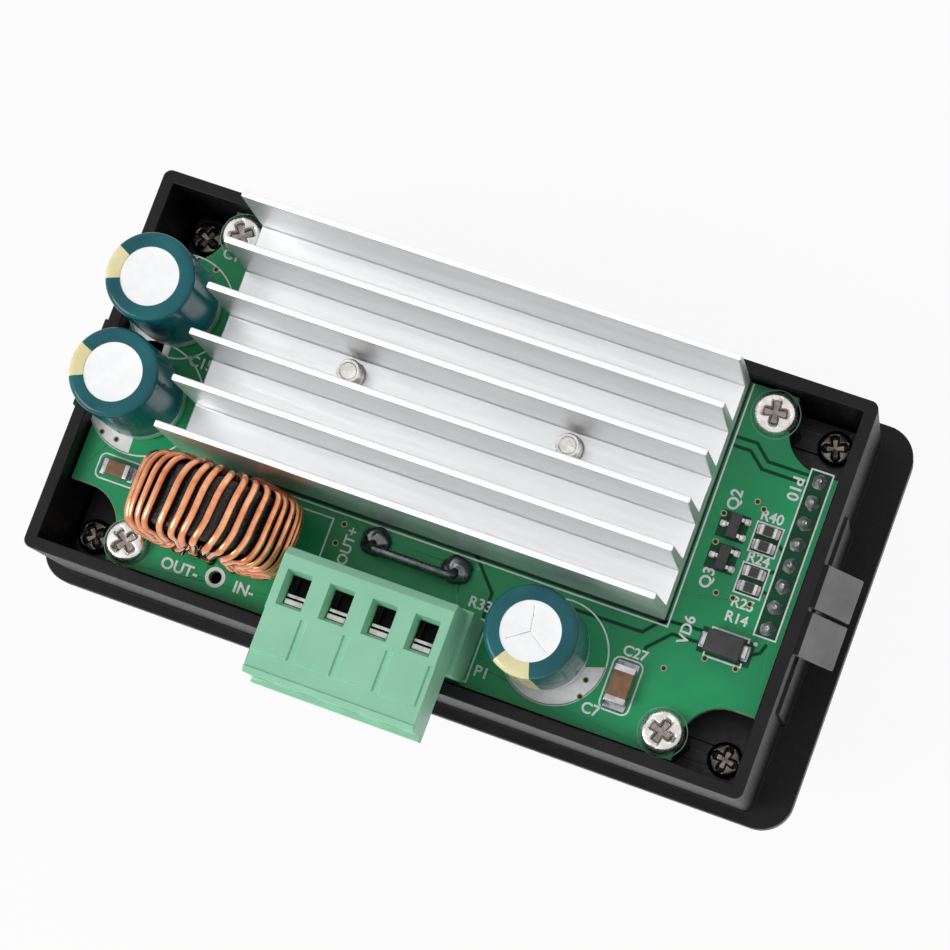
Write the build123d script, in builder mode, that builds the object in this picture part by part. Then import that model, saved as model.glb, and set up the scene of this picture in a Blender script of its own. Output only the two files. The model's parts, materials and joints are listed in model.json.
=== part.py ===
# Panel-mounted buck converter module: moulded case with a bezel, a control board behind the
# front, a power board with its heatsink at the back, and a pluggable four-way terminal.
# Millimetres. The origin is the centre of the case, in the rear face of the bezel, which is the
# face that meets the panel.
# +Z points out of the back of the module, +X along its length, towards the link header.

import os

from build123d import *

os.makedirs("parts", exist_ok=True)

# Clearances
fit = 0.1
running = 0.05
hole_play = 0.2
head_clearance = 0.3

# Case and bezel
case_length = 88.6
case_width = 47.6
case_wall = 1.5
case_corner = 1.0
case_depth = 20.5
bezel_overhang_x = 4.05
bezel_overhang_y = 1.5
bezel_offset_x = 0.35
bezel_thick = 4.0
bezel_corner = 4.0
bezel_edge = 1.2
front_thick = 2.0
front_z = -bezel_thick
floor_z = front_z + front_thick
rim_z = case_depth
cavity_length = case_length - 2 * case_wall
cavity_width = case_width - 2 * case_wall

# Snap leaves on the end walls
leaf_offset_y = -0.85
leaf_width = 5.2
leaf_slit = 0.45
leaf_reach = 4.6
leaf_reach_pressed = 1.3
leaf_drop = 3.8
leaf_thick = 1.0
leaf_below_rim = 0.8
pad_length = 24.0
pad_raise = 0.45
pad_below_rim = 5.8

# Boards
board_thick = 1.6
board_edge_gap = 0.3
power_board_below_rim = 3.0
spacer_length = 8.9
board_length = cavity_length - 2 * board_edge_gap
board_width = cavity_width - 2 * board_edge_gap
power_top = rim_z - power_board_below_rim
power_under = power_top - board_thick
control_top = power_under - spacer_length
control_under = control_top - board_thick

# Case screws: into corner bosses, through the control board
case_screw_inset_x = 2.7
case_screw_inset_y = 3.0
case_screw_x = cavity_length / 2 - case_screw_inset_x
case_screw_y = cavity_width / 2 - case_screw_inset_y
case_screw_thread = 2.2
case_screw_length = 6.0
case_head_diameter = 4.2
case_head_height = 1.6
boss_diameter = 5.0
corner_cut_radius = 5.0

# Board screws and the hex spacers between the two boards
board_screw_inset_x = 9.3
board_screw_inset_y = 2.7
board_screw_x = board_length / 2 - board_screw_inset_x
board_screw_y = board_width / 2 - board_screw_inset_y
board_screw_thread = 2.5
board_head_diameter = 4.7
board_head_height = 1.7
board_screw_grip = 3.0
spacer_across_flats = 4.6

# Heatsink: it leaves a bay at each end of the board, and one along the front for the terminal
left_bay = 11.7
right_bay = 13.3
front_bay = 15.08
sink_base = 2.5
fin_count = 6
fin_root = 1.4
fin_tip = 0.8
fin_height = 12.6
sink_wall_gap = 0.12
pad_thick = 0.5
sink_screw_pitch = 27.0
sink_screw_thread = 3.0
sink_screw_out = 2.6
sink_head_diameter = 5.4
sink_head_height = 2.0
sink_length = board_length - left_bay - right_bay
sink_width = cavity_width - sink_wall_gap - front_bay
sink_centre_x = (left_bay - right_bay) / 2
sink_centre_y = cavity_width / 2 - sink_wall_gap - sink_width / 2
fin_pitch = (sink_width - fin_root) / (fin_count - 1)
sink_z = power_top + pad_thick
sink_top = sink_z + sink_base

# Power transistors, flat under the power board, with the heatsink screws through their tabs
tab_width = 10.0
tab_length = 6.4
tab_thick = 1.3
transistor_body_length = 9.0
transistor_thick = 4.4
transistor_lead_pitch = 2.54

# Electrolytic capacitors
can_diameter = 10.1
sleeve_wall = 0.2
can_height = 14.4
can_end_bead = 0.6
bung_height = 1.6
bung_stand = 0.3
lead_diameter = 0.7
lead_pitch = 5.0
lead_tail = 1.6
left_can_inset = 5.4
left_can_y = 9.1
left_can_pitch = 11.7
lone_can_inset = 7.4
crimp_depth = 0.4
sleeve_diameter = can_diameter + 2 * sleeve_wall

# Toroidal inductor, standing on edge with its axis along Y
core_outer = 17.6
core_inner = 10.6
core_width = 7.4
wire_diameter = 1.0
wire_gap = 0.12
turn_count = 24
turn_slant = 9.0
lead_gap_angle = 46.0
inductor_inset = 8.3
inductor_lift = 0.3
lead_offset = 1.2
test_hole_inset = 2.3
test_hole_diameter = 1.5

# Current shunt: a stout resistance wire between two solder pads
shunt_offset_x = 0.62
shunt_inset = 12.4
shunt_span = 10.1
shunt_wire = 1.1
shunt_rise = 2.0
shunt_leg = 0.5
shunt_side = 1.1
shunt_bend = 0.8
blob_diameter = 3.8
blob_height = 1.4

# Link between the boards
link_pins_count = 8
link_pitch = 2.54
link_pin = 0.64
link_edge_inset = 2.0
link_below_screw = 14.7
link_centre_y = case_screw_y - link_below_screw
link_strip = 2.5
link_socket_height = 6.0
joint_diameter = 1.7
joint_height = 0.9

# Pluggable terminal
pole_count = 4
pole_pitch = 5.08
header_inset = 4.0
header_ends = 0.6
header_height = 8.4
header_wall = 0.85
header_floor = 1.6
header_depth = 7.6
plug_back = 3.4
plug_front = 11.4
plug_height = 7.9
plug_end = 2.54
plug_seat_gap = 0.2
nose_length = 6.4
terminal_pin = 1.0
pin_tail = 1.6
wire_mouth_x = 3.0
wire_mouth_y = 4.1
wire_mouth_offset = 1.1
mouth_rim = 0.35
panel_raise = 0.25
ledge_reach = 0.6
ledge_height = 1.9

plug_length = (pole_count - 1) * pole_pitch + 2 * plug_end
header_length = plug_length + 2 * header_ends
header_y = -board_width / 2 + header_inset

# Rising clamps inside the plug
clamp_width = 4.0
clamp_tall = 3.4
clamp_side = 0.5
clamp_far = 0.5
clamp_near = 1.2
clamp_inside = 4.3
clamp_travel = 3.3
clamp_above_block = 2.0
clamp_screw = 2.5
clamp_screw_head = 3.4
clamp_head_height = 1.4
bar_thick = 0.8
bar_width = 2.4
strap_thick = 0.8

# Small parts on the two boards
ceramic_width = 2.5
ceramic_length = 4.4
ceramic_height = 1.8
ceramic_inset = 6.1
small_ceramic_length = 3.3
small_ceramic_width = 1.75
small_ceramic_inset = 10.3
resistor_length = 2.0
resistor_width = 1.25
resistor_thick = 0.6
resistor_pitch = 1.8
resistor_inset = 3.55
transistor_inset = 7.45
transistor_length = 2.9
transistor_width = 1.3
diode_inset = 3.9
diode_below_link = 12.4
diode_length = 4.3
diode_width = 2.6
big_chip = 9.0
small_chip_x = 6.0
small_chip_y = 5.0
chip_thick = 1.4
small_chip_inset = 11.2
driver_chip_x = 6.2
driver_chip_thick = 1.6

# Front row on the power board: inductor, terminal, lone capacitor and ceramic capacitor stand
# between the two front board screws. Parts of the room left free there lie before the inductor,
# after the terminal and after the capacitor. The inductor bulges over the first screw's head.
room_before_coil = 0.323
room_after_header = 0.2095
room_after_can = 0.2504
coil_gap = 0.2
coil_radius = core_outer / 2 + wire_gap + wire_diameter
coil_middle = inductor_lift + coil_radius
coil_foot = (coil_radius**2 - (coil_middle - board_head_height) ** 2) ** 0.5
row_start = -board_screw_x + board_head_diameter / 2
row_pieces = coil_foot + coil_radius + coil_gap + header_length + sleeve_diameter + ceramic_width
row_room = -2 * row_start - row_pieces
inductor_x = row_start + room_before_coil * row_room + coil_foot
terminal_x = inductor_x + coil_radius + coil_gap + header_length / 2
lone_can_x = (
    terminal_x + header_length / 2 + room_after_header * row_room + sleeve_diameter / 2
)
ceramic_x = lone_can_x + sleeve_diameter / 2 + room_after_can * row_room + ceramic_width / 2
inductor_y = -board_width / 2 + inductor_inset
lone_can_y = -board_width / 2 + lone_can_inset
ceramic_y = -board_width / 2 + ceramic_inset
shunt_x = terminal_x + shunt_offset_x
shunt_y = -board_width / 2 + shunt_inset

# Front: display, keys and encoder. The keys have the left bay, and the display has the rest
key_bay = 26.6
display_end_gap = 7.0
display_cover_x = 4.0
display_cover_y = 2.5
display_thick = 2.8
window_height = 28.0
lens_border = 2.5
lens_thick = 1.0
frame_wall = 1.4
display_length = cavity_length - key_bay - display_end_gap
display_height = window_height + 2 * display_cover_y
window_length = display_length - 2 * display_cover_x
window_x = cavity_length / 2 - display_end_gap - display_length / 2
key_inset = 10.3
key_x = -cavity_length / 2 + key_inset
key_y = -8.5
key_pitch_x = 10.0
key_pitch_y = 8.0
key_length = 5.6
key_height = 4.0
key_proud = 0.7
key_flange = 0.6
key_flange_thick = 0.8
key_play = 0.15
key_travel = 0.3
switch_size = 6.0
switch_height = 3.5
plunger_diameter = 3.4
plunger_out = 0.95
plunger_inside = 1.0
encoder_x = key_x
encoder_y = 8.8
encoder_size = 12.0
encoder_height = 6.4
bushing_diameter = 7.0
bushing_length = 4.4
shaft_diameter = 6.0
shaft_inside = 2.0
knob_diameter = 13.5
knob_height = 10.5
knob_wall_end = 1.5
knob_gap = 0.9
knob_flutes = 18
push_travel = 0.5


def corner_spots(half_x, half_y):
    # The four corners of a rectangle, as places for screws, posts and cuts.
    return [(half_x, half_y), (-half_x, half_y), (-half_x, -half_y), (half_x, -half_y)]


def row_spots(count, pitch, x, y, along_x=True):
    # Places in a straight row, centred on x, y.
    steps = [(i - (count - 1) / 2) * pitch for i in range(count)]
    return [(x + s, y) if along_x else (x, y + s) for s in steps]


case_screw_spots = corner_spots(case_screw_x, case_screw_y)
board_screw_spots = corner_spots(board_screw_x, board_screw_y)
sink_screw_spots = row_spots(2, sink_screw_pitch, sink_centre_x, sink_centre_y)
link_x = board_length / 2 - link_edge_inset
link_spots = row_spots(link_pins_count, link_pitch, link_x, link_centre_y, along_x=False)
pole_spots = row_spots(pole_count, pole_pitch, terminal_x, header_y)
left_can_x = -cavity_length / 2 + left_can_inset
can_spots = [(left_can_x, left_can_y), (left_can_x, left_can_y - left_can_pitch)]
can_spots += [(lone_can_x, lone_can_y)]
key_spots = [
    (key_x + dx * key_pitch_x / 2, key_y + dy * key_pitch_y / 2)
    for dy in (1, -1)
    for dx in (-1, 1)
]

# Case: bezel, walls, corner bosses, front openings and snap leaves in one moulding
lens_length = window_length + 2 * lens_border
lens_height = window_height + 2 * lens_border
with BuildPart() as case:
    with BuildSketch(Plane.XY.offset(front_z)):
        with Locations((bezel_offset_x, 0)):
            RectangleRounded(
                case_length + 2 * bezel_overhang_x,
                case_width + 2 * bezel_overhang_y,
                bezel_corner,
            )
    extrude(amount=bezel_thick)
    fillet(case.faces().sort_by(Axis.Z)[0].edges(), bezel_edge)
    with BuildSketch(Plane.XY):
        RectangleRounded(case_length, case_width, case_corner)
    extrude(amount=case_depth)
    with BuildSketch(Plane.XY.offset(floor_z)):
        Rectangle(cavity_length, cavity_width)
    extrude(amount=rim_z - floor_z, mode=Mode.SUBTRACT)
    with BuildSketch(Plane.XY.offset(floor_z)):
        with Locations(*case_screw_spots):
            Circle(boss_diameter / 2)
    extrude(amount=control_under - floor_z)
    with BuildSketch(Plane.XY.offset(control_under)):
        with Locations(*case_screw_spots):
            Circle(case_screw_thread / 2)
    extrude(amount=-case_screw_length, mode=Mode.SUBTRACT)
    # Display window and the shallow recess that its lens is glued into
    with BuildSketch(Plane.XY.offset(front_z)):
        with Locations((window_x, 0)):
            RectangleRounded(lens_length, lens_height, 1.5)
    extrude(amount=lens_thick, mode=Mode.SUBTRACT)
    with BuildSketch(Plane.XY.offset(front_z)):
        with Locations((window_x, 0)):
            Rectangle(window_length, window_height)
        with Locations(*key_spots):
            RectangleRounded(key_length + 2 * key_play, key_height + 2 * key_play, 0.8)
        with Locations((encoder_x, encoder_y)):
            Circle(bushing_diameter / 2 + hole_play)
    extrude(amount=front_thick, mode=Mode.SUBTRACT)
    # Raised pads and the pair of snap leaves on each end wall; the -X pair lies pressed in
    pad_top = rim_z - pad_below_rim
    with BuildSketch(Plane.XY):
        for side in (-1, 1):
            with Locations((side * (case_length + pad_raise) / 2, leaf_offset_y)):
                Rectangle(pad_raise, pad_length)
    extrude(amount=pad_top)
    for side, reach in ((-1, leaf_reach_pressed), (1, leaf_reach)):
        for step in (-1, 1):
            leaf_y = leaf_offset_y + step * (leaf_width + leaf_slit) / 2
            with BuildSketch(Plane.XZ.offset(-leaf_y)):
                root_x = side * (case_length / 2)
                root_z = rim_z - leaf_below_rim
                with BuildLine():
                    Polyline(
                        (root_x, root_z),
                        (root_x + side * 0.6, root_z),
                        (root_x + side * reach, root_z - leaf_drop),
                        (root_x + side * (reach - 0.3), root_z - leaf_drop - leaf_thick * 0.7),
                        (root_x + side * reach * 0.13, root_z - leaf_thick * 1.5),
                        (root_x, root_z - leaf_thick * 1.5),
                        close=True,
                    )
                make_face()
            extrude(amount=leaf_width / 2, both=True)
case.part.label = "shell_with_bezel"
export_step(case.part, "parts/shell_with_bezel.step")

# Display: lens in the front, liquid-crystal panel behind it, carrier frame on the board
with BuildPart() as lens:
    with BuildSketch(Plane.XY.offset(front_z)):
        with Locations((window_x, 0)):
            RectangleRounded(lens_length - 2 * fit, lens_height - 2 * fit, 1.5 - fit)
    extrude(amount=lens_thick)
lens.part.label = "display_window"
export_step(lens.part, "parts/display_window.step")

with BuildPart() as display:
    with BuildSketch(Plane.XY.offset(floor_z)):
        with Locations((window_x, 0)):
            Rectangle(display_length, display_height)
    extrude(amount=display_thick)
display.part.label = "display_module"
export_step(display.part, "parts/display_module.step")

with BuildPart() as display_frame:
    with BuildSketch(Plane.XY.offset(floor_z + display_thick)):
        with Locations((window_x, 0)):
            Rectangle(display_length, display_height)
            Rectangle(
                display_length - 2 * frame_wall, display_height - 2 * frame_wall, mode=Mode.SUBTRACT
            )
    extrude(amount=control_under - floor_z - display_thick)
    # Relief over the spacer screws' heads, wherever the frame would reach them
    with BuildSketch(Plane.XY.offset(control_under)):
        with Locations(*board_screw_spots):
            Circle(board_head_diameter / 2 + head_clearance)
    extrude(amount=-(board_head_height + head_clearance), mode=Mode.SUBTRACT)
display_frame.part.label = "display_frame"
export_step(display_frame.part, "parts/display_frame.step")

# Control board, with holes for the case screws and the spacer screws
with BuildPart() as control_board:
    with BuildSketch(Plane.XY.offset(control_under)):
        RectangleRounded(board_length, board_width, 0.8)
        with Locations(*case_screw_spots):
            Circle(case_screw_thread / 2 + hole_play, mode=Mode.SUBTRACT)
        with Locations(*board_screw_spots):
            Circle(board_screw_thread / 2 + fit, mode=Mode.SUBTRACT)
    extrude(amount=board_thick)
control_board.part.label = "control_board"
export_step(control_board.part, "parts/control_board.step")

small_chip_x_spot = board_screw_x - small_chip_inset
with BuildPart() as control_chips:
    with BuildSketch(Plane.XY.offset(control_top)):
        with Locations((0, -board_width / 4)):
            Rectangle(big_chip, big_chip)
        with Locations((-small_chip_x_spot, board_width / 4), (small_chip_x_spot, -board_width / 4)):
            Rectangle(small_chip_x, small_chip_y)
    extrude(amount=chip_thick)
control_chips.part.label = "control_chips"
export_step(control_chips.part, "parts/control_chips.step")

# Keys: switch bodies on the front of the control board, each with a plunger and a cap
plunger_free = control_under - switch_height - plunger_out
with BuildPart() as key_switches:
    with BuildSketch(Plane.XY.offset(control_under)):
        with Locations(*key_spots):
            Rectangle(switch_size, switch_size)
    extrude(amount=-switch_height)
    with BuildSketch(Plane.XY.offset(control_under - switch_height)):
        with Locations(*key_spots):
            Circle(plunger_diameter / 2 + running)
    extrude(amount=plunger_inside + 2 * key_travel, mode=Mode.SUBTRACT)
key_switches.part.label = "key_switches"
export_step(key_switches.part, "parts/key_switches.step")

for number, spot in enumerate(key_spots, start=1):
    with BuildPart() as plunger:
        with BuildSketch(Plane.XY.offset(plunger_free)):
            with Locations(spot):
                Circle(plunger_diameter / 2)
        extrude(amount=plunger_out + plunger_inside)
    plunger.part.label = f"switch_plunger_{number}"
    export_step(plunger.part, f"parts/switch_plunger_{number}.step")

    with BuildPart() as cap:
        with BuildSketch(Plane.XY.offset(front_z - key_proud)):
            with Locations(spot):
                RectangleRounded(key_length, key_height, 0.7)
        extrude(amount=plunger_free - front_z + key_proud)
        chamfer(cap.faces().sort_by(Axis.Z)[0].edges(), 0.3)
        with BuildSketch(Plane.XY.offset(floor_z + fit)):
            with Locations(spot):
                Rectangle(key_length + 2 * key_flange, key_height + 2 * key_flange)
        extrude(amount=key_flange_thick)
    cap.part.label = f"key_cap_{number}"
    export_step(cap.part, f"parts/key_cap_{number}.step")

# Encoder: housing with a bushing through the front, push plunger, shaft and knob
encoder_front = control_under - encoder_height
bushing_end = encoder_front - bushing_length
shaft_inner = encoder_front + shaft_inside
plunger_disc = 0.9
knob_base = front_z - knob_gap
knob_end = knob_base - knob_height
with BuildPart() as encoder:
    with BuildSketch(Plane.XY.offset(encoder_front)):
        with Locations((encoder_x, encoder_y)):
            Rectangle(encoder_size, encoder_size)
    extrude(amount=encoder_height)
    with BuildSketch(Plane.XY.offset(bushing_end)):
        with Locations((encoder_x, encoder_y)):
            Circle(bushing_diameter / 2)
    extrude(amount=bushing_length)
    with BuildSketch(Plane.XY.offset(bushing_end)):
        with Locations((encoder_x, encoder_y)):
            Circle(shaft_diameter / 2 + running)
    extrude(
        amount=shaft_inner - bushing_end + plunger_disc + push_travel + fit, mode=Mode.SUBTRACT
    )
encoder.part.label = "encoder_body"
export_step(encoder.part, "parts/encoder_body.step")

with BuildPart() as encoder_plunger:
    with BuildSketch(Plane.XY.offset(shaft_inner + running)):
        with Locations((encoder_x, encoder_y)):
            Circle(shaft_diameter / 2)
    extrude(amount=plunger_disc - running)
encoder_plunger.part.label = "encoder_plunger"
export_step(encoder_plunger.part, "parts/encoder_plunger.step")

with BuildPart() as encoder_shaft:
    with BuildSketch(Plane.XY.offset(knob_end + knob_wall_end)):
        with Locations((encoder_x, encoder_y)):
            Circle(shaft_diameter / 2)
    extrude(amount=shaft_inner - knob_end - knob_wall_end)
encoder_shaft.part.label = "encoder_shaft"
export_step(encoder_shaft.part, "parts/encoder_shaft.step")

with BuildPart() as knob:
    with BuildSketch(Plane.XY.offset(knob_end)):
        with Locations((encoder_x, encoder_y)):
            Circle(knob_diameter / 2)
            with PolarLocations(knob_diameter / 2 + 0.25, knob_flutes):
                Circle(0.6, mode=Mode.SUBTRACT)
    extrude(amount=knob_height)
    with BuildSketch(Plane.XY.offset(knob_base)):
        with Locations((encoder_x, encoder_y)):
            Circle(bushing_diameter / 2 + 0.5)
    extrude(amount=-(knob_base - bushing_end + push_travel + 0.4), mode=Mode.SUBTRACT)
    with BuildSketch(Plane.XY.offset(knob_base)):
        with Locations((encoder_x, encoder_y)):
            Circle(shaft_diameter / 2)
    extrude(amount=-(knob_height - knob_wall_end), mode=Mode.SUBTRACT)
knob.part.label = "encoder_knob"
export_step(knob.part, "parts/encoder_knob.step")


# Pan-head screws, with a cross recess cut into the head
def pan_screw(head_z, up, spots, head_diameter, head_height, thread, length):
    # Head seated at head_z, rising towards +Z when up is 1, with the shank the other way.
    with BuildPart() as screws:
        with BuildSketch(Plane.XY.offset(head_z)):
            with Locations(*spots):
                Circle(head_diameter / 2)
        extrude(amount=up * head_height)
        crowns = screws.faces().filter_by(Axis.Z).group_by(Axis.Z)[-1 if up > 0 else 0]
        fillet(crowns.edges(), head_height * 0.55)
        with BuildSketch(Plane.XY.offset(head_z)):
            with Locations(*spots):
                Circle(thread / 2)
        extrude(amount=-up * length)
        with BuildSketch(Plane.XY.offset(head_z + up * head_height)):
            with Locations(*spots):
                Rectangle(head_diameter * 0.58, head_diameter * 0.16)
                Rectangle(head_diameter * 0.16, head_diameter * 0.58)
        extrude(amount=-up * head_height * 0.6, mode=Mode.SUBTRACT)
    return screws.part


case_screws = pan_screw(
    control_top, 1, case_screw_spots, case_head_diameter, case_head_height,
    case_screw_thread, board_thick + case_screw_length - 0.5,
)
case_screws.label = "case_screws"
export_step(case_screws, "parts/case_screws.step")

board_screws = pan_screw(
    power_top, 1, board_screw_spots, board_head_diameter, board_head_height,
    board_screw_thread, board_thick + board_screw_grip,
)
board_screws.label = "board_screws"
export_step(board_screws, "parts/board_screws.step")

spacer_screws = pan_screw(
    control_under, -1, board_screw_spots, board_head_diameter, board_head_height,
    board_screw_thread, board_thick + board_screw_grip,
)
spacer_screws.label = "spacer_screws"
export_step(spacer_screws, "parts/spacer_screws.step")

with BuildPart() as spacers:
    with BuildSketch(Plane.XY.offset(control_top)):
        with Locations(*board_screw_spots):
            RegularPolygon(spacer_across_flats / 2, 6, major_radius=False)
            Circle(board_screw_thread / 2, mode=Mode.SUBTRACT)
    extrude(amount=spacer_length)
spacers.part.label = "board_spacers"
export_step(spacers.part, "parts/board_spacers.step")

# Power board: corner cuts round the case screws, and a drilled hole for every lead
can_lead_spots = []
for x, y in can_spots:
    can_lead_spots += row_spots(2, lead_pitch, x, y, along_x=False)
shunt_spots = row_spots(2, shunt_span, shunt_x, shunt_y)
wrap_side = core_width / 2 + wire_gap + wire_diameter / 2
inductor_lead_spots = [
    (inductor_x - lead_offset, inductor_y - wrap_side),
    (inductor_x + lead_offset, inductor_y + wrap_side),
]
transistor_lead_y = sink_centre_y - tab_length / 2 - transistor_body_length - 1.6
transistor_lead_spots = []
for x, y in sink_screw_spots:
    transistor_lead_spots += row_spots(3, transistor_lead_pitch, x, transistor_lead_y)
test_hole = (inductor_x, -board_width / 2 + test_hole_inset)
with BuildPart() as power_board:
    with BuildSketch(Plane.XY.offset(power_under)):
        Rectangle(board_length, board_width)
        for x, y in case_screw_spots:
            side_x = 1 if x > 0 else -1
            side_y = 1 if y > 0 else -1
            with Locations((x, y)):
                Circle(corner_cut_radius, mode=Mode.SUBTRACT)
            reach = corner_cut_radius * 2
            with Locations((x + side_x * reach / 2, y), (x, y + side_y * reach / 2)):
                Rectangle(reach, reach, mode=Mode.SUBTRACT)
        with Locations(*board_screw_spots):
            Circle(board_screw_thread / 2 + fit, mode=Mode.SUBTRACT)
        with Locations(*sink_screw_spots):
            Circle(sink_screw_thread / 2 + fit, mode=Mode.SUBTRACT)
        with Locations(*can_lead_spots):
            Circle(lead_diameter / 2 + running, mode=Mode.SUBTRACT)
        with Locations(*shunt_spots):
            Circle(shunt_wire / 2 + running, mode=Mode.SUBTRACT)
        with Locations(*inductor_lead_spots):
            Circle(wire_diameter / 2 + running, mode=Mode.SUBTRACT)
        with Locations(*link_spots):
            Circle(link_pin * 0.75, mode=Mode.SUBTRACT)
        with Locations(*pole_spots):
            Circle(terminal_pin * 0.75, mode=Mode.SUBTRACT)
        with Locations(*transistor_lead_spots):
            Circle(0.6, mode=Mode.SUBTRACT)
        with Locations(test_hole):
            Circle(test_hole_diameter / 2, mode=Mode.SUBTRACT)
    extrude(amount=board_thick)
power_board.part.label = "power_board"
export_step(power_board.part, "parts/power_board.step")

driver_spots = [(ceramic_x, -board_width / 4), (-board_screw_x + driver_chip_x / 2, 0)]
with BuildPart() as driver_chips:
    with BuildSketch(Plane.XY.offset(power_under)):
        with Locations(*driver_spots):
            Rectangle(driver_chip_x, small_chip_y)
    extrude(amount=-driver_chip_thick)
driver_chips.part.label = "driver_chips"
export_step(driver_chips.part, "parts/driver_chips.step")

# Link between the boards: pin strip, pins, socket and the solder joints on the power board
socket_top = control_top + link_socket_height
strip_length = link_pins_count * link_pitch
link_pin_low = socket_top - 4.0
link_pin_out = 0.25
with BuildPart() as link_header:
    with BuildSketch(Plane.XY.offset(power_under)):
        with Locations((link_x, link_centre_y)):
            Rectangle(link_strip, strip_length)
        with Locations(*link_spots):
            Rectangle(link_pin, link_pin, mode=Mode.SUBTRACT)
    extrude(amount=-(power_under - socket_top))
link_header.part.label = "link_header"
export_step(link_header.part, "parts/link_header.step")

with BuildPart() as link_socket:
    with BuildSketch(Plane.XY.offset(control_top)):
        with Locations((link_x, link_centre_y)):
            Rectangle(link_strip, strip_length)
    extrude(amount=link_socket_height)
    with BuildSketch(Plane.XY.offset(socket_top)):
        with Locations(*link_spots):
            Rectangle(link_pin + fit, link_pin + fit)
    extrude(amount=-(socket_top - link_pin_low + 0.3), mode=Mode.SUBTRACT)
link_socket.part.label = "link_socket"
export_step(link_socket.part, "parts/link_socket.step")

with BuildPart() as link_pins:
    with BuildSketch(Plane.XY.offset(link_pin_low)):
        with Locations(*link_spots):
            Rectangle(link_pin, link_pin)
    extrude(amount=power_top + link_pin_out - link_pin_low)
link_pins.part.label = "link_pins"
export_step(link_pins.part, "parts/link_pins.step")

# Each solder joint is a small cone over the end of its pin
with BuildPart() as link_joints:
    with Locations(*[(x, y, power_top + joint_height / 2) for x, y in link_spots]):
        Cone(joint_diameter / 2, joint_diameter / 5, joint_height)
    with BuildSketch(Plane.XY.offset(power_top)):
        with Locations(*link_spots):
            Rectangle(link_pin, link_pin)
    extrude(amount=link_pin_out, mode=Mode.SUBTRACT)
link_joints.part.label = "link_solder"
export_step(link_joints.part, "parts/link_solder.step")

# Heatsink: insulating pad, finned extrusion, and the screws that come up through the board
with BuildPart() as thermal_pad:
    with BuildSketch(Plane.XY.offset(power_top)):
        with Locations((sink_centre_x, sink_centre_y)):
            Rectangle(sink_length, sink_width)
        with Locations(*sink_screw_spots):
            Circle(sink_screw_thread / 2 + fit, mode=Mode.SUBTRACT)
    extrude(amount=pad_thick)
thermal_pad.part.label = "thermal_pad"
export_step(thermal_pad.part, "parts/thermal_pad.step")

fin_spots = row_spots(fin_count, fin_pitch, 0, sink_centre_y, along_x=False)
with BuildPart() as heatsink:
    with BuildSketch(Plane.YZ.offset(sink_centre_x)):
        with BuildLine():
            low = sink_centre_y - sink_width / 2
            high = sink_centre_y + sink_width / 2
            Polyline((low, sink_z), (high, sink_z), (high, sink_top), (low, sink_top), close=True)
        make_face()
        for spot_x, y in fin_spots:
            with BuildLine():
                Polyline(
                    (y - fin_root / 2, sink_top),
                    (y + fin_root / 2, sink_top),
                    (y + fin_tip / 2, sink_top + fin_height),
                    (y - fin_tip / 2, sink_top + fin_height),
                    close=True,
                )
            make_face()
    extrude(amount=sink_length / 2, both=True)
    with BuildSketch(Plane.XY.offset(sink_z)):
        with Locations(*sink_screw_spots):
            Circle(sink_screw_thread / 2)
    extrude(amount=sink_base, mode=Mode.SUBTRACT)
heatsink.part.label = "heatsink"
export_step(heatsink.part, "parts/heatsink.step")

with BuildPart() as transistors:
    for x, y in sink_screw_spots:
        with BuildSketch(Plane.XY.offset(power_under)):
            with Locations((x, y)):
                Rectangle(tab_width, tab_length)
                Circle(sink_screw_thread / 2 + fit, mode=Mode.SUBTRACT)
        extrude(amount=-tab_thick)
        with BuildSketch(Plane.XY.offset(power_under)):
            with Locations((x, y - tab_length / 2 - transistor_body_length / 2)):
                Rectangle(tab_width, transistor_body_length)
        extrude(amount=-transistor_thick)
        lead_z = power_under - transistor_thick * 0.6
        with BuildSketch(Plane.XY.offset(lead_z)):
            start_y = y - tab_length / 2 - transistor_body_length
            reach = start_y - transistor_lead_y
            with Locations(*row_spots(3, transistor_lead_pitch, x, start_y - reach / 2)):
                Rectangle(0.8, reach + 0.7)
        extrude(amount=-0.5)
        with BuildSketch(Plane.XY.offset(lead_z)):
            with Locations(*row_spots(3, transistor_lead_pitch, x, transistor_lead_y)):
                Rectangle(0.7, 0.5)
        extrude(amount=power_top - lead_z)
transistors.part.label = "power_transistors"
export_step(transistors.part, "parts/power_transistors.step")

sink_screw_seat = power_under - tab_thick
sink_screws = pan_screw(
    sink_screw_seat, -1, sink_screw_spots, sink_head_diameter, sink_head_height,
    sink_screw_thread, sink_top + sink_screw_out - sink_screw_seat,
)
sink_screws.label = "heatsink_screws"
export_step(sink_screws, "parts/heatsink_screws.step")

# Electrolytic capacitors: aluminium can, printed sleeve, rubber bung and leads
can_base = power_top + bung_stand
can_top = can_base + can_height
can_radius = can_diameter / 2
bung_radius = can_radius - crimp_depth - 0.3
with BuildPart() as cans:
    for x, y in can_spots:
        with BuildSketch(Plane.XZ.offset(-y)):
            with BuildLine():
                neck_z = can_base + bung_height
                Polyline(
                    (x, neck_z),
                    (x + bung_radius, neck_z),
                    (x + bung_radius, can_base),
                    (x + can_radius - 0.1, can_base),
                    (x + can_radius, can_base + 0.3),
                    (x + can_radius, neck_z - 0.4),
                    (x + can_radius - crimp_depth, neck_z + 0.3),
                    (x + can_radius, neck_z + 1.0),
                    (x + can_radius, can_top - can_end_bead),
                )
                RadiusArc(
                    (x + can_radius, can_top - can_end_bead),
                    (x + can_radius - can_end_bead, can_top),
                    -can_end_bead,
                )
                Polyline((x + can_radius - can_end_bead, can_top), (x, can_top), (x, neck_z))
            make_face()
        revolve(axis=Axis((x, y, 0), (0, 0, 1)))
cans.part.label = "capacitor_cans"
export_step(cans.part, "parts/capacitor_cans.step")

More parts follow.
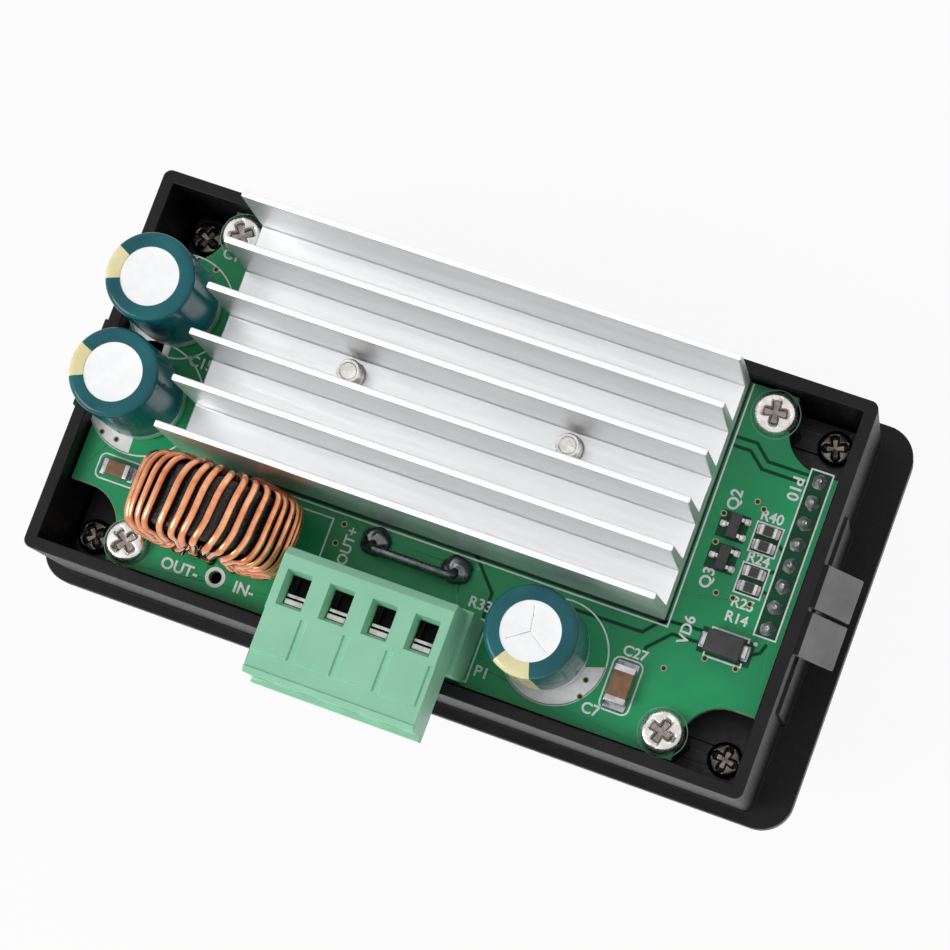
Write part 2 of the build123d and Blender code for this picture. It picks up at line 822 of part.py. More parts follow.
sleeve_radius = can_radius + sleeve_wall
sleeve_lip = 1.6
with BuildPart() as sleeves:
    for x, y in can_spots:
        with BuildSketch(Plane.XZ.offset(-y)):
            with BuildLine():
                low = can_base + bung_height + 1.0
                Line((x + can_radius, low), (x + sleeve_radius, low))
                Line((x + sleeve_radius, low), (x + sleeve_radius, can_top - can_end_bead))
                RadiusArc(
                    (x + sleeve_radius, can_top - can_end_bead),
                    (x + can_radius - can_end_bead, can_top + sleeve_wall),
                    -(can_end_bead + sleeve_wall),
                )
                Polyline(
                    (x + can_radius - can_end_bead, can_top + sleeve_wall),
                    (x + can_radius - sleeve_lip, can_top + sleeve_wall),
                    (x + can_radius - sleeve_lip, can_top),
                    (x + can_radius - can_end_bead, can_top),
                )
                RadiusArc(
                    (x + can_radius - can_end_bead, can_top),
                    (x + can_radius, can_top - can_end_bead),
                    can_end_bead,
                )
                Line((x + can_radius, can_top - can_end_bead), (x + can_radius, low))
            make_face()
        revolve(axis=Axis((x, y, 0), (0, 0, 1)))
sleeves.part.label = "capacitor_sleeves"
export_step(sleeves.part, "parts/capacitor_sleeves.step")

with BuildPart() as bungs:
    with BuildSketch(Plane.XY.offset(power_top)):
        with Locations(*can_spots):
            Circle(bung_radius)
        with Locations(*can_lead_spots):
            Circle(lead_diameter / 2, mode=Mode.SUBTRACT)
    extrude(amount=bung_height + bung_stand)
bungs.part.label = "capacitor_bungs"
export_step(bungs.part, "parts/capacitor_bungs.step")

with BuildPart() as can_leads:
    with BuildSketch(Plane.XY.offset(power_under - lead_tail)):
        with Locations(*can_lead_spots):
            Circle(lead_diameter / 2)
    extrude(amount=board_thick + lead_tail + bung_stand + bung_height)
can_leads.part.label = "capacitor_leads"
export_step(can_leads.part, "parts/capacitor_leads.step")

# Inductor: toroidal core, closed turns slanted about their own radius, and the two leads
wrap_radius = core_outer / 2 + wire_gap + wire_diameter / 2
hole_radius = core_inner / 2 - wire_gap - wire_diameter / 2
inductor_z = power_top + inductor_lift + wrap_radius + wire_diameter / 2
core_plane = Plane(
    origin=(inductor_x, inductor_y, inductor_z), x_dir=(1, 0, 0), z_dir=(0, -1, 0)
)
with BuildPart() as core:
    with BuildSketch(core_plane):
        Circle(core_outer / 2)
        Circle(core_inner / 2, mode=Mode.SUBTRACT)
    extrude(amount=core_width / 2, both=True)
    fillet(core.edges().filter_by(GeomType.CIRCLE), 0.5)
core.part.label = "inductor_core"
export_step(core.part, "parts/inductor_core.step")

turn_middle = (wrap_radius + hole_radius) / 2
turn_x = (wrap_radius - hole_radius) / 2
with BuildPart() as one_turn:
    with BuildLine() as turn_path:
        FilletPolyline(
            (turn_x, wrap_side),
            (-turn_x, wrap_side),
            (-turn_x, -wrap_side),
            (turn_x, -wrap_side),
            radius=0.7,
            close=True,
        )
    with BuildSketch(Plane(origin=turn_path.line @ 0, z_dir=turn_path.line % 0)):
        Circle(wire_diameter / 2)
    sweep()

turn_planes = []
for number in range(turn_count):
    share = number / (turn_count - 1)
    angle = -90 + lead_gap_angle / 2 + share * (360 - lead_gap_angle)
    radial = Vector(1, 0, 0).rotate(Axis.Y, -angle)
    along = Vector(0, 0, 1).rotate(Axis.Y, -angle).rotate(Axis((0, 0, 0), radial), turn_slant)
    middle = Vector(inductor_x, inductor_y, inductor_z) + radial * turn_middle
    turn_planes.append(Plane(origin=middle, x_dir=radial, z_dir=along))
with BuildPart() as winding:
    with Locations(*turn_planes):
        add(one_turn.part)
    with BuildSketch(Plane.XY.offset(power_under - lead_tail)):
        with Locations(*inductor_lead_spots):
            Circle(wire_diameter / 2)
    extrude(amount=inductor_z - hole_radius - power_under + lead_tail)
winding.part.label = "inductor_winding"
export_step(winding.part, "parts/inductor_winding.step")

# Current shunt and its two solder blobs
with BuildPart() as shunt:
    with BuildLine() as shunt_path:
        start_x = shunt_x - shunt_span / 2
        end_x = shunt_x + shunt_span / 2
        shunt_z = power_top + shunt_rise
        FilletPolyline(
            (start_x, shunt_y, power_under - pin_tail),
            (start_x, shunt_y, power_top + shunt_leg),
            (start_x, shunt_y - shunt_side, shunt_z),
            (end_x, shunt_y - shunt_side, shunt_z),
            (end_x, shunt_y, power_top + shunt_leg),
            (end_x, shunt_y, power_under - pin_tail),
            radius=shunt_bend,
        )
    with BuildSketch(Plane(origin=shunt_path.line @ 0, z_dir=shunt_path.line % 0)):
        Circle(shunt_wire / 2)
    sweep()
shunt.part.label = "current_shunt"
export_step(shunt.part, "parts/current_shunt.step")

with BuildPart() as blobs:
    for x, y in shunt_spots:
        with BuildSketch(Plane.XZ.offset(-y)):
            with BuildLine():
                Polyline(
                    (x, power_top + blob_height),
                    (x, power_top),
                    (x + blob_diameter / 2, power_top),
                )
                ThreePointArc(
                    (x + blob_diameter / 2, power_top),
                    (x + blob_diameter * 0.36, power_top + blob_height * 0.75),
                    (x, power_top + blob_height),
                )
            make_face()
        revolve(axis=Axis((x, y, 0), (0, 0, 1)))
    add(shunt.part, mode=Mode.SUBTRACT)
blobs.part.label = "shunt_solder"
export_step(blobs.part, "parts/shunt_solder.step")

# Terminal header on the board, open at the top, with its four pins
header_top = power_top + header_height
header_inside_x = header_length - 2 * header_wall
header_inside_y = header_depth - 2 * header_wall
with BuildPart() as header:
    with BuildSketch(Plane.XY.offset(power_top)):
        with Locations((terminal_x, header_y)):
            Rectangle(header_length, header_depth)
        with Locations(*pole_spots):
            Rectangle(terminal_pin, terminal_pin, mode=Mode.SUBTRACT)
    extrude(amount=header_height)
    with BuildSketch(Plane.XY.offset(power_top + header_floor)):
        with Locations((terminal_x, header_y)):
            Rectangle(header_inside_x, header_inside_y)
    extrude(amount=header_height - header_floor, mode=Mode.SUBTRACT)
header.part.label = "terminal_header"
export_step(header.part, "parts/terminal_header.step")

with BuildPart() as pins:
    with BuildSketch(Plane.XY.offset(power_under - pin_tail)):
        with Locations(*pole_spots):
            Rectangle(terminal_pin, terminal_pin)
    extrude(amount=header_top - 0.5 - power_under + pin_tail)
    chamfer(pins.faces().filter_by(Axis.Z).group_by(Axis.Z)[-1].edges(), 0.2)
pins.part.label = "terminal_pins"
export_step(pins.part, "parts/terminal_pins.step")

# Plug: clamp block above the header, with a nose that fits inside it
block_z = header_top + plug_seat_gap
block_top = block_z + plug_height
block_back = header_y + plug_back
block_front = header_y - plug_front
nose_x = header_inside_x - 2 * fit
nose_y = header_inside_y - 2 * fit
mouth_y = header_y - wire_mouth_offset
clamp_z = block_z + clamp_above_block + clamp_tall / 2
clamp_back = mouth_y + wire_mouth_y / 2 + clamp_far
clamp_front = clamp_back - clamp_far - clamp_inside - clamp_near
pocket_back = clamp_back + fit
pocket_front = clamp_front - clamp_travel - fit
bar_front = clamp_front + clamp_near + running
head_seat = pocket_front - 1.1
screw_tip = bar_front - running
contact_low = block_z + 0.3
contact_tube = terminal_pin + 1.2
contact_back = header_y + contact_tube / 2
contact_front = bar_front
contact_width = bar_width
nose_low = block_z - nose_length
with BuildPart() as plug:
    with BuildSketch(Plane.XY.offset(block_z)):
        with Locations((terminal_x, (block_back + block_front) / 2)):
            Rectangle(plug_length, block_back - block_front)
    extrude(amount=plug_height)
    chamfer(
        plug.faces().sort_by(Axis.Z)[-1].edges().filter_by(Axis.X).sort_by(Axis.Y)[-1], 0.9
    )
    chamfer(
        plug.faces().sort_by(Axis.Z)[-1].edges().filter_by(Axis.X).sort_by(Axis.Y)[0], 0.7
    )
    with BuildSketch(Plane.XY.offset(block_z)):
        with Locations((terminal_x, block_front - ledge_reach / 2)):
            Rectangle(plug_length, ledge_reach)
    extrude(amount=ledge_height)
    with BuildSketch(Plane.XY.offset(nose_low)):
        with Locations((terminal_x, header_y)):
            Rectangle(nose_x, nose_y)
    extrude(amount=nose_length)
    # The field below the wire mouths is sunk, except for one flat panel a pole
    panel_back = mouth_y - wire_mouth_y / 2 - 0.8
    panel_front = panel_back - 4.8
    field_front = block_front + 0.7
    with BuildSketch(Plane.XY.offset(block_top)):
        with Locations((terminal_x, (panel_back + field_front) / 2)):
            Rectangle(plug_length, panel_back - field_front)
        with Locations(*[(x - 0.3, (panel_back + panel_front) / 2) for x, y in pole_spots]):
            Rectangle(pole_pitch - 0.8, panel_back - panel_front, mode=Mode.SUBTRACT)
    extrude(amount=-panel_raise, mode=Mode.SUBTRACT)
    # Wire mouths, clamp pockets, screw holes and the seats of the contacts
    with BuildSketch(Plane.XY.offset(clamp_z)):
        with Locations(*[(x, mouth_y) for x, y in pole_spots]):
            Rectangle(wire_mouth_x, wire_mouth_y)
    extrude(amount=block_top - clamp_z, mode=Mode.SUBTRACT)
    with BuildSketch(Plane.XY.offset(clamp_z - clamp_tall / 2 - fit)):
        with Locations(*[(x, (pocket_back + pocket_front) / 2) for x, y in pole_spots]):
            Rectangle(clamp_width + 2 * fit, pocket_back - pocket_front)
    extrude(amount=clamp_tall + 2 * fit, mode=Mode.SUBTRACT)
    with BuildSketch(Plane.XZ.offset(-head_seat)):
        with Locations(*[(x, clamp_z) for x, y in pole_spots]):
            Circle(clamp_screw_head / 2 + fit)
    extrude(amount=head_seat - block_front + ledge_reach, mode=Mode.SUBTRACT)
    with BuildSketch(Plane.XZ.offset(-head_seat)):
        with Locations(*[(x, clamp_z) for x, y in pole_spots]):
            Circle(clamp_screw / 2 + running)
    extrude(amount=-(pocket_front - head_seat), mode=Mode.SUBTRACT)
    with BuildSketch(Plane.XY.offset(contact_low)):
        with Locations(*[(x, (contact_back + contact_front) / 2) for x, y in pole_spots]):
            Rectangle(contact_width, contact_back - contact_front)
    extrude(amount=clamp_z - clamp_tall / 2 - contact_low, mode=Mode.SUBTRACT)
    with BuildSketch(Plane.XY.offset(nose_low)):
        with Locations(*pole_spots):
            Rectangle(contact_tube, contact_tube)
    extrude(amount=contact_low - nose_low, mode=Mode.SUBTRACT)
plug.part.label = "terminal_plug"
export_step(plug.part, "parts/terminal_plug.step")

# Contacts: a tube on each pin, a strap across, and the bar that the wire is clamped against
tube_low = nose_low + 0.4
with BuildPart() as contacts:
    with BuildSketch(Plane.XY.offset(tube_low)):
        with Locations(*pole_spots):
            Rectangle(contact_tube, contact_tube)
            Rectangle(
                terminal_pin + 2 * running, terminal_pin + 2 * running, mode=Mode.SUBTRACT
            )
    extrude(amount=contact_low - tube_low)
    with BuildSketch(Plane.XY.offset(contact_low)):
        with Locations(*[(x, (contact_back + contact_front) / 2) for x, y in pole_spots]):
            Rectangle(contact_width, contact_back - contact_front)
    extrude(amount=strap_thick)
    with BuildSketch(Plane.XY.offset(contact_low)):
        with Locations(*[(x, bar_front + bar_thick / 2) for x, y in pole_spots]):
            Rectangle(contact_width, bar_thick)
    extrude(amount=clamp_z + clamp_tall / 2 - contact_low)
contacts.part.label = "plug_contacts"
export_step(contacts.part, "parts/plug_contacts.step")

for number, (x, y) in enumerate(pole_spots, start=1):
    with BuildPart() as clamp:
        with BuildSketch(Plane.XY.offset(clamp_z - clamp_tall / 2)):
            with Locations((x, (clamp_back + clamp_front) / 2)):
                Rectangle(clamp_width, clamp_back - clamp_front)
            with Locations((x, clamp_back - clamp_far - clamp_inside / 2)):
                Rectangle(clamp_width - 2 * clamp_side, clamp_inside, mode=Mode.SUBTRACT)
        extrude(amount=clamp_tall)
        with BuildSketch(Plane.XZ.offset(-clamp_front)):
            with Locations((x, clamp_z)):
                Circle(clamp_screw / 2 + running)
        extrude(amount=-clamp_near, mode=Mode.SUBTRACT)
    clamp.part.label = f"plug_clamp_{number}"
    export_step(clamp.part, f"parts/plug_clamp_{number}.step")

    with BuildPart() as clamp_screw_piece:
        with BuildSketch(Plane.XZ.offset(-head_seat + running)):
            with Locations((x, clamp_z)):
                Circle(clamp_screw_head / 2)
        extrude(amount=clamp_head_height)
        with BuildSketch(Plane.XZ.offset(-head_seat + running)):
            with Locations((x, clamp_z)):
                Circle(clamp_screw / 2)
        extrude(amount=-(screw_tip - head_seat))
        with BuildSketch(Plane.XZ.offset(-head_seat + running + clamp_head_height)):
            with Locations((x, clamp_z)):
                Rectangle(clamp_screw_head, 0.6)
        extrude(amount=-0.7, mode=Mode.SUBTRACT)
    clamp_screw_piece.part.label = f"plug_screw_{number}"
    export_step(clamp_screw_piece.part, f"parts/plug_screw_{number}.step")

# Small surface-mounted parts; each is a body with its end caps or legs
with BuildPart() as ceramics:
    with BuildSketch(Plane.XY.offset(power_top)):
        with Locations((ceramic_x, ceramic_y)):
            Rectangle(ceramic_width, ceramic_length)
        with Locations((left_can_x, -board_width / 2 + small_ceramic_inset)):
            Rectangle(small_ceramic_length, small_ceramic_width)
    extrude(amount=ceramic_height)
    fillet(ceramics.edges().filter_by(Axis.Z), 0.2)
ceramics.part.label = "ceramic_capacitors"
export_step(ceramics.part, "parts/ceramic_capacitors.step")

# Two pairs of resistors beside the link, and two transistors beside the resistors
pair_spots = [link_centre_y + 0.7, link_centre_y - 4.3]
resistor_spots = []
for pair_y in pair_spots:
    resistor_spots += row_spots(
        2, resistor_pitch, link_x - resistor_inset, pair_y, along_x=False
    )
with BuildPart() as resistors:
    with BuildSketch(Plane.XY.offset(power_top)):
        with Locations(*resistor_spots):
            Rectangle(resistor_length, resistor_width)
    extrude(amount=resistor_thick)
resistors.part.label = "chip_resistors"
export_step(resistors.part, "parts/chip_resistors.step")

leg_reach = transistor_width / 2 + 0.35
leg_spread = 0.95
transistor_x = link_x - transistor_inset
transistor_spots = [(transistor_x, link_centre_y + 0.9), (transistor_x, link_centre_y - 2.9)]
with BuildPart() as small_transistors:
    with BuildSketch(Plane.XY.offset(power_top + 0.1)):
        with Locations(*transistor_spots):
            Rectangle(transistor_width, transistor_length)
    extrude(amount=1.0)
    chamfer(small_transistors.faces().filter_by(Axis.Z).group_by(Axis.Z)[-1].edges(), 0.15)
    for x, y in transistor_spots:
        with BuildSketch(Plane.XY.offset(power_top)):
            with Locations(
                (x + leg_reach, y + leg_spread), (x + leg_reach, y - leg_spread), (x - leg_reach, y)
            ):
                Rectangle(0.8, 0.42)
        extrude(amount=0.5)
small_transistors.part.label = "small_transistors"
export_step(small_transistors.part, "parts/small_transistors.step")

diode_x = link_x - diode_inset
diode_y = link_centre_y - diode_below_link
with BuildPart() as diode:
    with BuildSketch(Plane.XY.offset(power_top + 0.2)):
        with Locations((diode_x, diode_y)):
            Rectangle(diode_length, diode_width)
    extrude(amount=2.0)
    chamfer(diode.faces().filter_by(Axis.Z).group_by(Axis.Z)[-1].edges(), 0.3)
    with BuildSketch(Plane.XY.offset(power_top)):
        with Locations((diode_x - diode_length / 2, diode_y), (diode_x + diode_length / 2, diode_y)):
            Rectangle(0.9, 1.5)
    extrude(amount=1.1)
diode.part.label = "smd_diode"
export_step(diode.part, "parts/smd_diode.step")
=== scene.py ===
import json
import math

import bmesh
import bpy
import numpy as np
from mathutils import Matrix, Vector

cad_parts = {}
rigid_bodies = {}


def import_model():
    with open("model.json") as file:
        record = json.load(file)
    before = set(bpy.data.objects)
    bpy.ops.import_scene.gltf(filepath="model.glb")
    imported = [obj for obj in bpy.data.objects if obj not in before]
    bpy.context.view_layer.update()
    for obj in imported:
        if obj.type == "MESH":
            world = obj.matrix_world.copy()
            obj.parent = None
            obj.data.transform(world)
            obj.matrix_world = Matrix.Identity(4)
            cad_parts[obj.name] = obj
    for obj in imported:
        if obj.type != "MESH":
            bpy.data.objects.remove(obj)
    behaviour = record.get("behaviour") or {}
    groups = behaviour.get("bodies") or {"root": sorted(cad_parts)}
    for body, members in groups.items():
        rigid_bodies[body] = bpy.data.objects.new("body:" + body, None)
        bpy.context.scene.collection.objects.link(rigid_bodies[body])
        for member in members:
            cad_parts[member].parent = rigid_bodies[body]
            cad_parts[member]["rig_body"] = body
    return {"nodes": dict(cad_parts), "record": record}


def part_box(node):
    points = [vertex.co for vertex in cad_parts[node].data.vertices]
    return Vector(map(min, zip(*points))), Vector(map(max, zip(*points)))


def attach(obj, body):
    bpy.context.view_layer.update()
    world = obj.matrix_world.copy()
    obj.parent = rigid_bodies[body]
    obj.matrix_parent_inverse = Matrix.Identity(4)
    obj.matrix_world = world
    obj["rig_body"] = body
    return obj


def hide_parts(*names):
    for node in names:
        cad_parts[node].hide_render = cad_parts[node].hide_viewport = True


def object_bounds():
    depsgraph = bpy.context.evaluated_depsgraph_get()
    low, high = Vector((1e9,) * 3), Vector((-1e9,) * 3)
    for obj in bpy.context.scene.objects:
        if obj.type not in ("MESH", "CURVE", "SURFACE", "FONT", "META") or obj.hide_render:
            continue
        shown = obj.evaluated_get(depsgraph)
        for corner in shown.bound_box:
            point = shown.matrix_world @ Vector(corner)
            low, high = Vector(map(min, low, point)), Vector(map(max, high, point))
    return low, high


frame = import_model()
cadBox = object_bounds()
nodes = frame["nodes"]
slotOf = {s["node"]: s["material_slot"] for s in frame["record"]["subparts"]}

# Shapes are worked out in millimetres in the part's own frame, and made metres in their mesh.
mm = 0.001
fullTurn = 2 * math.pi


def boxOf(name):
    # lowest corner, highest corner and middle of a CAD node, in mm
    low, high = (np.array(corner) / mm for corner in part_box(name))
    return low, high, (low + high) / 2


powerLow, powerHigh, _ = boxOf("power_board")
boardTop = powerHigh[2]
wireEnd = powerLow[2] - 1.0  # wires end 1 mm below the board


# Shape helpers: a shape is (points, faces, material numbers)

def gridFaces(rows, cols, closeRows):
    # quads over rows that close on themselves: corner (i, j) goes on to (i + 1, j),
    # (i + 1, j + 1) and (i, j + 1)
    i = np.arange(rows if closeRows else rows - 1)[:, None]
    j = np.arange(cols)[None, :]
    down, right = (i + 1) % rows, (j + 1) % cols
    quads = [i * cols + j, down * cols + j, down * cols + right, i * cols + right]
    return np.stack(quads, -1).reshape(-1, 4).tolist()


def gridShape(points, closeRows=False, caps=False, slot=0):
    # points[row, column] joined by quads; caps close the first and last row
    rows, cols = points.shape[:2]
    faces = gridFaces(rows, cols, closeRows)
    if caps:
        faces += [list(range(cols)), list(range((rows - 1) * cols, rows * cols))[::-1]]
    return points.reshape(-1, 3), faces, [slot] * len(faces)


def joinShapes(*shapes):
    # one shape from many, each one's faces counted on from the points before it
    points, faces, slots, start = [], [], [], 0
    for shapePoints, shapeFaces, shapeSlots in shapes:
        points.append(shapePoints)
        faces += [[k + start for k in face] for face in shapeFaces]
        slots += shapeSlots
        start += len(shapePoints)
    return np.concatenate(points), faces, slots


def placed(shape, x=0.0, y=0.0, z=0.0, turn=0.0):
    # the shape turned about Z by an angle in degrees, then moved
    points, faces, slots = shape
    a = math.radians(turn)
    spin = np.array([[math.cos(a), -math.sin(a), 0], [math.sin(a), math.cos(a), 0], [0, 0, 1]])
    return points @ spin.T + [x, y, z], faces, slots


def ringAngles(sides):
    # angles spaced evenly over one turn
    return np.arange(sides) / sides * fullTurn


def polarPoints(radius, angle, height):
    # (radius cos, radius sin, height) for each row and each angle
    x, y = radius * np.cos(angle), radius * np.sin(angle)
    return np.stack([x, y, np.broadcast_to(height, x.shape)], -1)


def polarBody(profile, sides, dent=None, dentAbove=None, slot=0):
    # a profile of (radius, height) turned about Z; dent(x, y) lowers points above a height
    profile = np.array(profile, float)
    points = polarPoints(profile[:, :1], ringAngles(sides), profile[:, 1:])
    if dent is not None:
        x, y, z = np.moveaxis(points, -1, 0)
        points[..., 2] = z - np.where(z > dentAbove, dent(x, y), 0)
    return gridShape(points, slot=slot)


def arcPoints(radius, start, end, steps, x=0.0, y=0.0):
    # steps + 1 points on a circle, angles in degrees
    a = np.radians(np.linspace(start, end, steps + 1))
    return np.stack([x + radius * np.cos(a), y + radius * np.sin(a)], -1)


def circlePoints(radius, x, y, steps=60):
    # points all round a circle, the first one not repeated
    return arcPoints(radius, 0, 360 - 360 / steps, steps - 1, x, y)


def discShape(radius, height, sides, slot=0):
    # a flat round disc: its profile goes out along the top and back along the bottom
    return polarBody([(0, height), (radius, height), (radius, 0), (0, 0)], sides, slot=slot)


def box2d(x0, y0, x1, y1):
    # the four corners of a flat rectangle
    return [(x0, y0), (x1, y0), (x1, y1), (x0, y1)]


def roundedOutline(halfX, halfY, corner):
    # rectangle with round corners: four quarter circles, one after the other
    centres = box2d(halfX - corner, halfY - corner, corner - halfX, corner - halfY)
    return np.concatenate([arcPoints(corner, 90 * k, 90 * k + 90, 4, *c)
                           for k, c in enumerate(centres)])


def softBlock(low, high, corner, edge, slot=0):
    # stacked rounded rectangles, drawn in by edge * (1 - sin) and edge * (1 - cos) at its two ends
    low, high = np.array(low, float), np.array(high, float)
    half, middle = (high - low) / 2, (high + low) / 2
    a = np.linspace(0, math.pi / 2, 4)
    inset = np.r_[edge * (1 - np.sin(a)), edge * (1 - np.cos(a))]
    height = np.r_[low[2] + edge * (1 - np.cos(a)), high[2] - edge * (1 - np.sin(a))]
    rings = []
    for draw, z in zip(inset, height):
        outline = roundedOutline(half[0] - draw, half[1] - draw, max(corner - draw, 0.03))
        rings.append(np.c_[outline + middle[:2], np.full(len(outline), z)])
    return gridShape(np.array(rings), caps=True, slot=slot)


def tube(path, radius, reference, sides):
    # circles round the path: side = tangent x reference, up = side x tangent
    reference = np.broadcast_to(reference, np.shape(path))
    tangent = np.gradient(path, axis=0)
    tangent /= np.linalg.norm(tangent, axis=1, keepdims=True)
    side = np.cross(tangent, reference)
    side /= np.linalg.norm(side, axis=1, keepdims=True)
    up = np.cross(side, tangent)
    a = ringAngles(sides)[None, :, None]
    points = path[:, None] + radius * (np.cos(a) * side[:, None] + np.sin(a) * up[:, None])
    return gridShape(points, caps=True)


def plate(outline, z, thick=0.03):
    # a flat outline given a thickness upward
    outline = np.array(outline, float)
    rings = [np.c_[outline, np.full(len(outline), level)] for level in (z, z + thick)]
    return gridShape(np.array(rings), caps=True)


def ribbon(line, width, z, thick=0.03, closed=False, slot=0):
    # a strip along a flat line: each point goes width / 2 to both sides along the mitred normal
    line = np.array(line, float)
    if closed:
        before, after = line - np.roll(line, 1, 0), np.roll(line, -1, 0) - line
    else:
        step = np.diff(line, axis=0)
        before, after = np.r_[step[:1], step], np.r_[step, step[-1:]]
    before /= np.linalg.norm(before, axis=1, keepdims=True)
    after /= np.linalg.norm(after, axis=1, keepdims=True)
    middle = before + after
    middle /= np.linalg.norm(middle, axis=1, keepdims=True)
    normal = np.stack([-middle[:, 1], middle[:, 0]], -1)
    share = np.sum(middle * after, 1, keepdims=True).clip(0.35)
    normal *= width / 2 / share
    left, right = line + normal, line - normal
    low, high = np.full(len(line), z), np.full(len(line), z + thick)
    section = [np.c_[left, high], np.c_[left, low], np.c_[right, low], np.c_[right, high]]
    return gridShape(np.stack(section, 1), closeRows=closed, caps=not closed, slot=slot)


def addObject(name, data):
    # a new object in the scene
    made = bpy.data.objects.new(name, data)
    bpy.context.scene.collection.objects.link(made)
    return made


def textShape(words, size, x, y, z, turn, thick=0.03):
    # words in the built-in font, a little bolder, made a mesh, then turned and moved
    curve = bpy.data.curves.new("words", "FONT")
    curve.body, curve.size, curve.extrude, curve.offset = words, size, thick / 2, size * 0.024
    curve.align_x, curve.align_y, curve.resolution_u = "CENTER", "CENTER", 4
    holder = addObject("words", curve)
    mesh = bpy.data.meshes.new_from_object(holder.evaluated_get(
        bpy.context.evaluated_depsgraph_get()))
    points = np.zeros(len(mesh.vertices) * 3)
    mesh.vertices.foreach_get("co", points)
    faces = [list(face.vertices) for face in mesh.polygons]
    bpy.data.objects.remove(holder)
    bpy.data.curves.remove(curve)
    bpy.data.meshes.remove(mesh)
    shape = points.reshape(-1, 3), faces, [0] * len(faces)
    return placed(shape, x, y, z + thick / 2, turn)


def cleanMesh(mesh, materials, flatFaces=False, pick=None):
    # gives the mesh its finishes, merges doubles, makes triangles flat faces if asked, turns
    # faces outward and smooths them; pick() chooses each face's finish
    for material in materials:
        mesh.materials.append(material)
    tidy = bmesh.new()
    tidy.from_mesh(mesh)
    bmesh.ops.remove_doubles(tidy, verts=tidy.verts, dist=1e-6)
    if flatFaces:
        bmesh.ops.dissolve_limit(tidy, angle_limit=math.radians(1.0), verts=tidy.verts,
                                 edges=tidy.edges)
    bmesh.ops.recalc_face_normals(tidy, faces=tidy.faces)
    for face in tidy.faces if pick else ():
        middle = face.calc_center_median()
        face.material_index = pick(*(c / mm for c in middle), face.normal)
    tidy.to_mesh(mesh)
    tidy.free()
    mesh.shade_smooth()


def addPiece(name, shape, materials, standsFor=(), body=None, smoothUnder=38):
    # the shape as a mesh in metres, riding its body
    points, faces, slots = shape
    mesh = bpy.data.meshes.new(name)
    mesh.from_pydata((points * mm).tolist(), [], faces)
    mesh.polygons.foreach_set("material_index", slots)
    cleanMesh(mesh, materials)
    mesh.set_sharp_from_angle(angle=math.radians(smoothUnder))
    return dressPiece(addObject(name, mesh), standsFor, body)


def dressPiece(piece, standsFor, body):
    # the piece rides the body of the node it stands for, and that node is hidden
    names = [standsFor] if isinstance(standsFor, str) else list(standsFor)
    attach(piece, body or nodes[names[0]]["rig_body"])
    if names:
        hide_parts(*names)
    return piece


def onePart(x, y, z, normal):
    # every face takes the first finish
    return 0


def softCopy(name, width, materials, segments=2, pick=onePart, angle=35, flatFaces=True):
    # a cleaned copy of a CAD node, its edges rounded and its shading evened by the size of its
    # faces
    mesh = nodes[name].data.copy()
    mesh.materials.clear()
    cleanMesh(mesh, materials, flatFaces, pick)
    piece = addObject("soft_" + name, mesh)
    bevel = piece.modifiers.new("edges", "BEVEL")
    bevel.width, bevel.segments = width * mm, segments
    bevel.limit_method, bevel.angle_limit = "ANGLE", math.radians(angle)
    bevel.use_clamp_overlap = False
    evened = piece.modifiers.new("evened", "WEIGHTED_NORMAL")
    evened.weight = 80
    return dressPiece(piece, name, None)


# Finishes

def paint(r, g, b):
    # screen colour 0..255 to the linear colour that a shader takes
    c = np.array([r, g, b]) / 255
    linear = np.where(c <= 0.04045, c / 12.92, ((c + 0.055) / 1.055) ** 2.4)
    return (*linear.tolist(), 1.0)


def setInputs(node, *settings):
    # each setting is an input's name or number, and its value
    for name, value in settings:
        node.inputs[name].default_value = value
    return node


def makeNode(tree, kind, *settings):
    # a new shader node, its kind said without "ShaderNode"
    return setInputs(tree.nodes.new("ShaderNode" + kind), *settings)


def paintRamp(node, stops, colours):
    # colours at their stops: the two ends first, then what lies between them
    elements = node.color_ramp.elements
    for k, (stop, colour) in enumerate(zip(stops, colours)):
        element = elements[k] if k < 2 else elements.new(stop)
        element.position, element.color = stop, paint(*colour)


def makeFinish(name, dark, light, grain, rough, metal=0.0, bump=0.2, depth=0.02,
               stretch=(1, 1, 1), coat=0.0, fine=6.0, ramp=(0.3, 0.7), specular=0.5):
    # colour runs from dark to light with a noise of `grain` per metre, and a noise `fine` times
    # finer moves the roughness and is raised by `depth` mm
    material = bpy.data.materials.new(name)
    material.use_nodes = True
    tree = material.node_tree
    link = tree.links.new
    shader = setInputs(tree.nodes["Principled BSDF"], ("Metallic", metal), ("Coat Weight", coat),
                       ("Coat Roughness", 0.12), ("Specular IOR Level", specular))
    place, mapping = makeNode(tree, "TexCoord"), makeNode(tree, "Mapping", ("Scale", stretch))
    link(place.outputs["Object"], mapping.inputs["Vector"])
    cloud, grit = [makeNode(tree, "TexNoise", ("Scale", scale), ("Detail", 4.0))
                   for scale in (grain, grain * fine)]
    for noise in (cloud, grit):
        link(mapping.outputs["Vector"], noise.inputs["Vector"])
    colour = makeNode(tree, "ValToRGB")
    paintRamp(colour, ramp, (dark, light))
    link(cloud.outputs["Fac"], colour.inputs["Fac"])
    link(colour.outputs["Color"], shader.inputs["Base Color"])
    gloss = makeNode(tree, "MapRange", ("From Min", 0.3), ("From Max", 0.7),
                     ("To Min", rough[0]), ("To Max", rough[1]))
    link(grit.outputs["Fac"], gloss.inputs["Value"])
    link(gloss.outputs["Result"], shader.inputs["Roughness"])
    raised = makeNode(tree, "Bump", ("Strength", bump), ("Distance", depth * mm))
    link(grit.outputs["Fac"], raised.inputs["Height"])
    link(raised.outputs["Normal"], shader.inputs["Normal"])
    return material


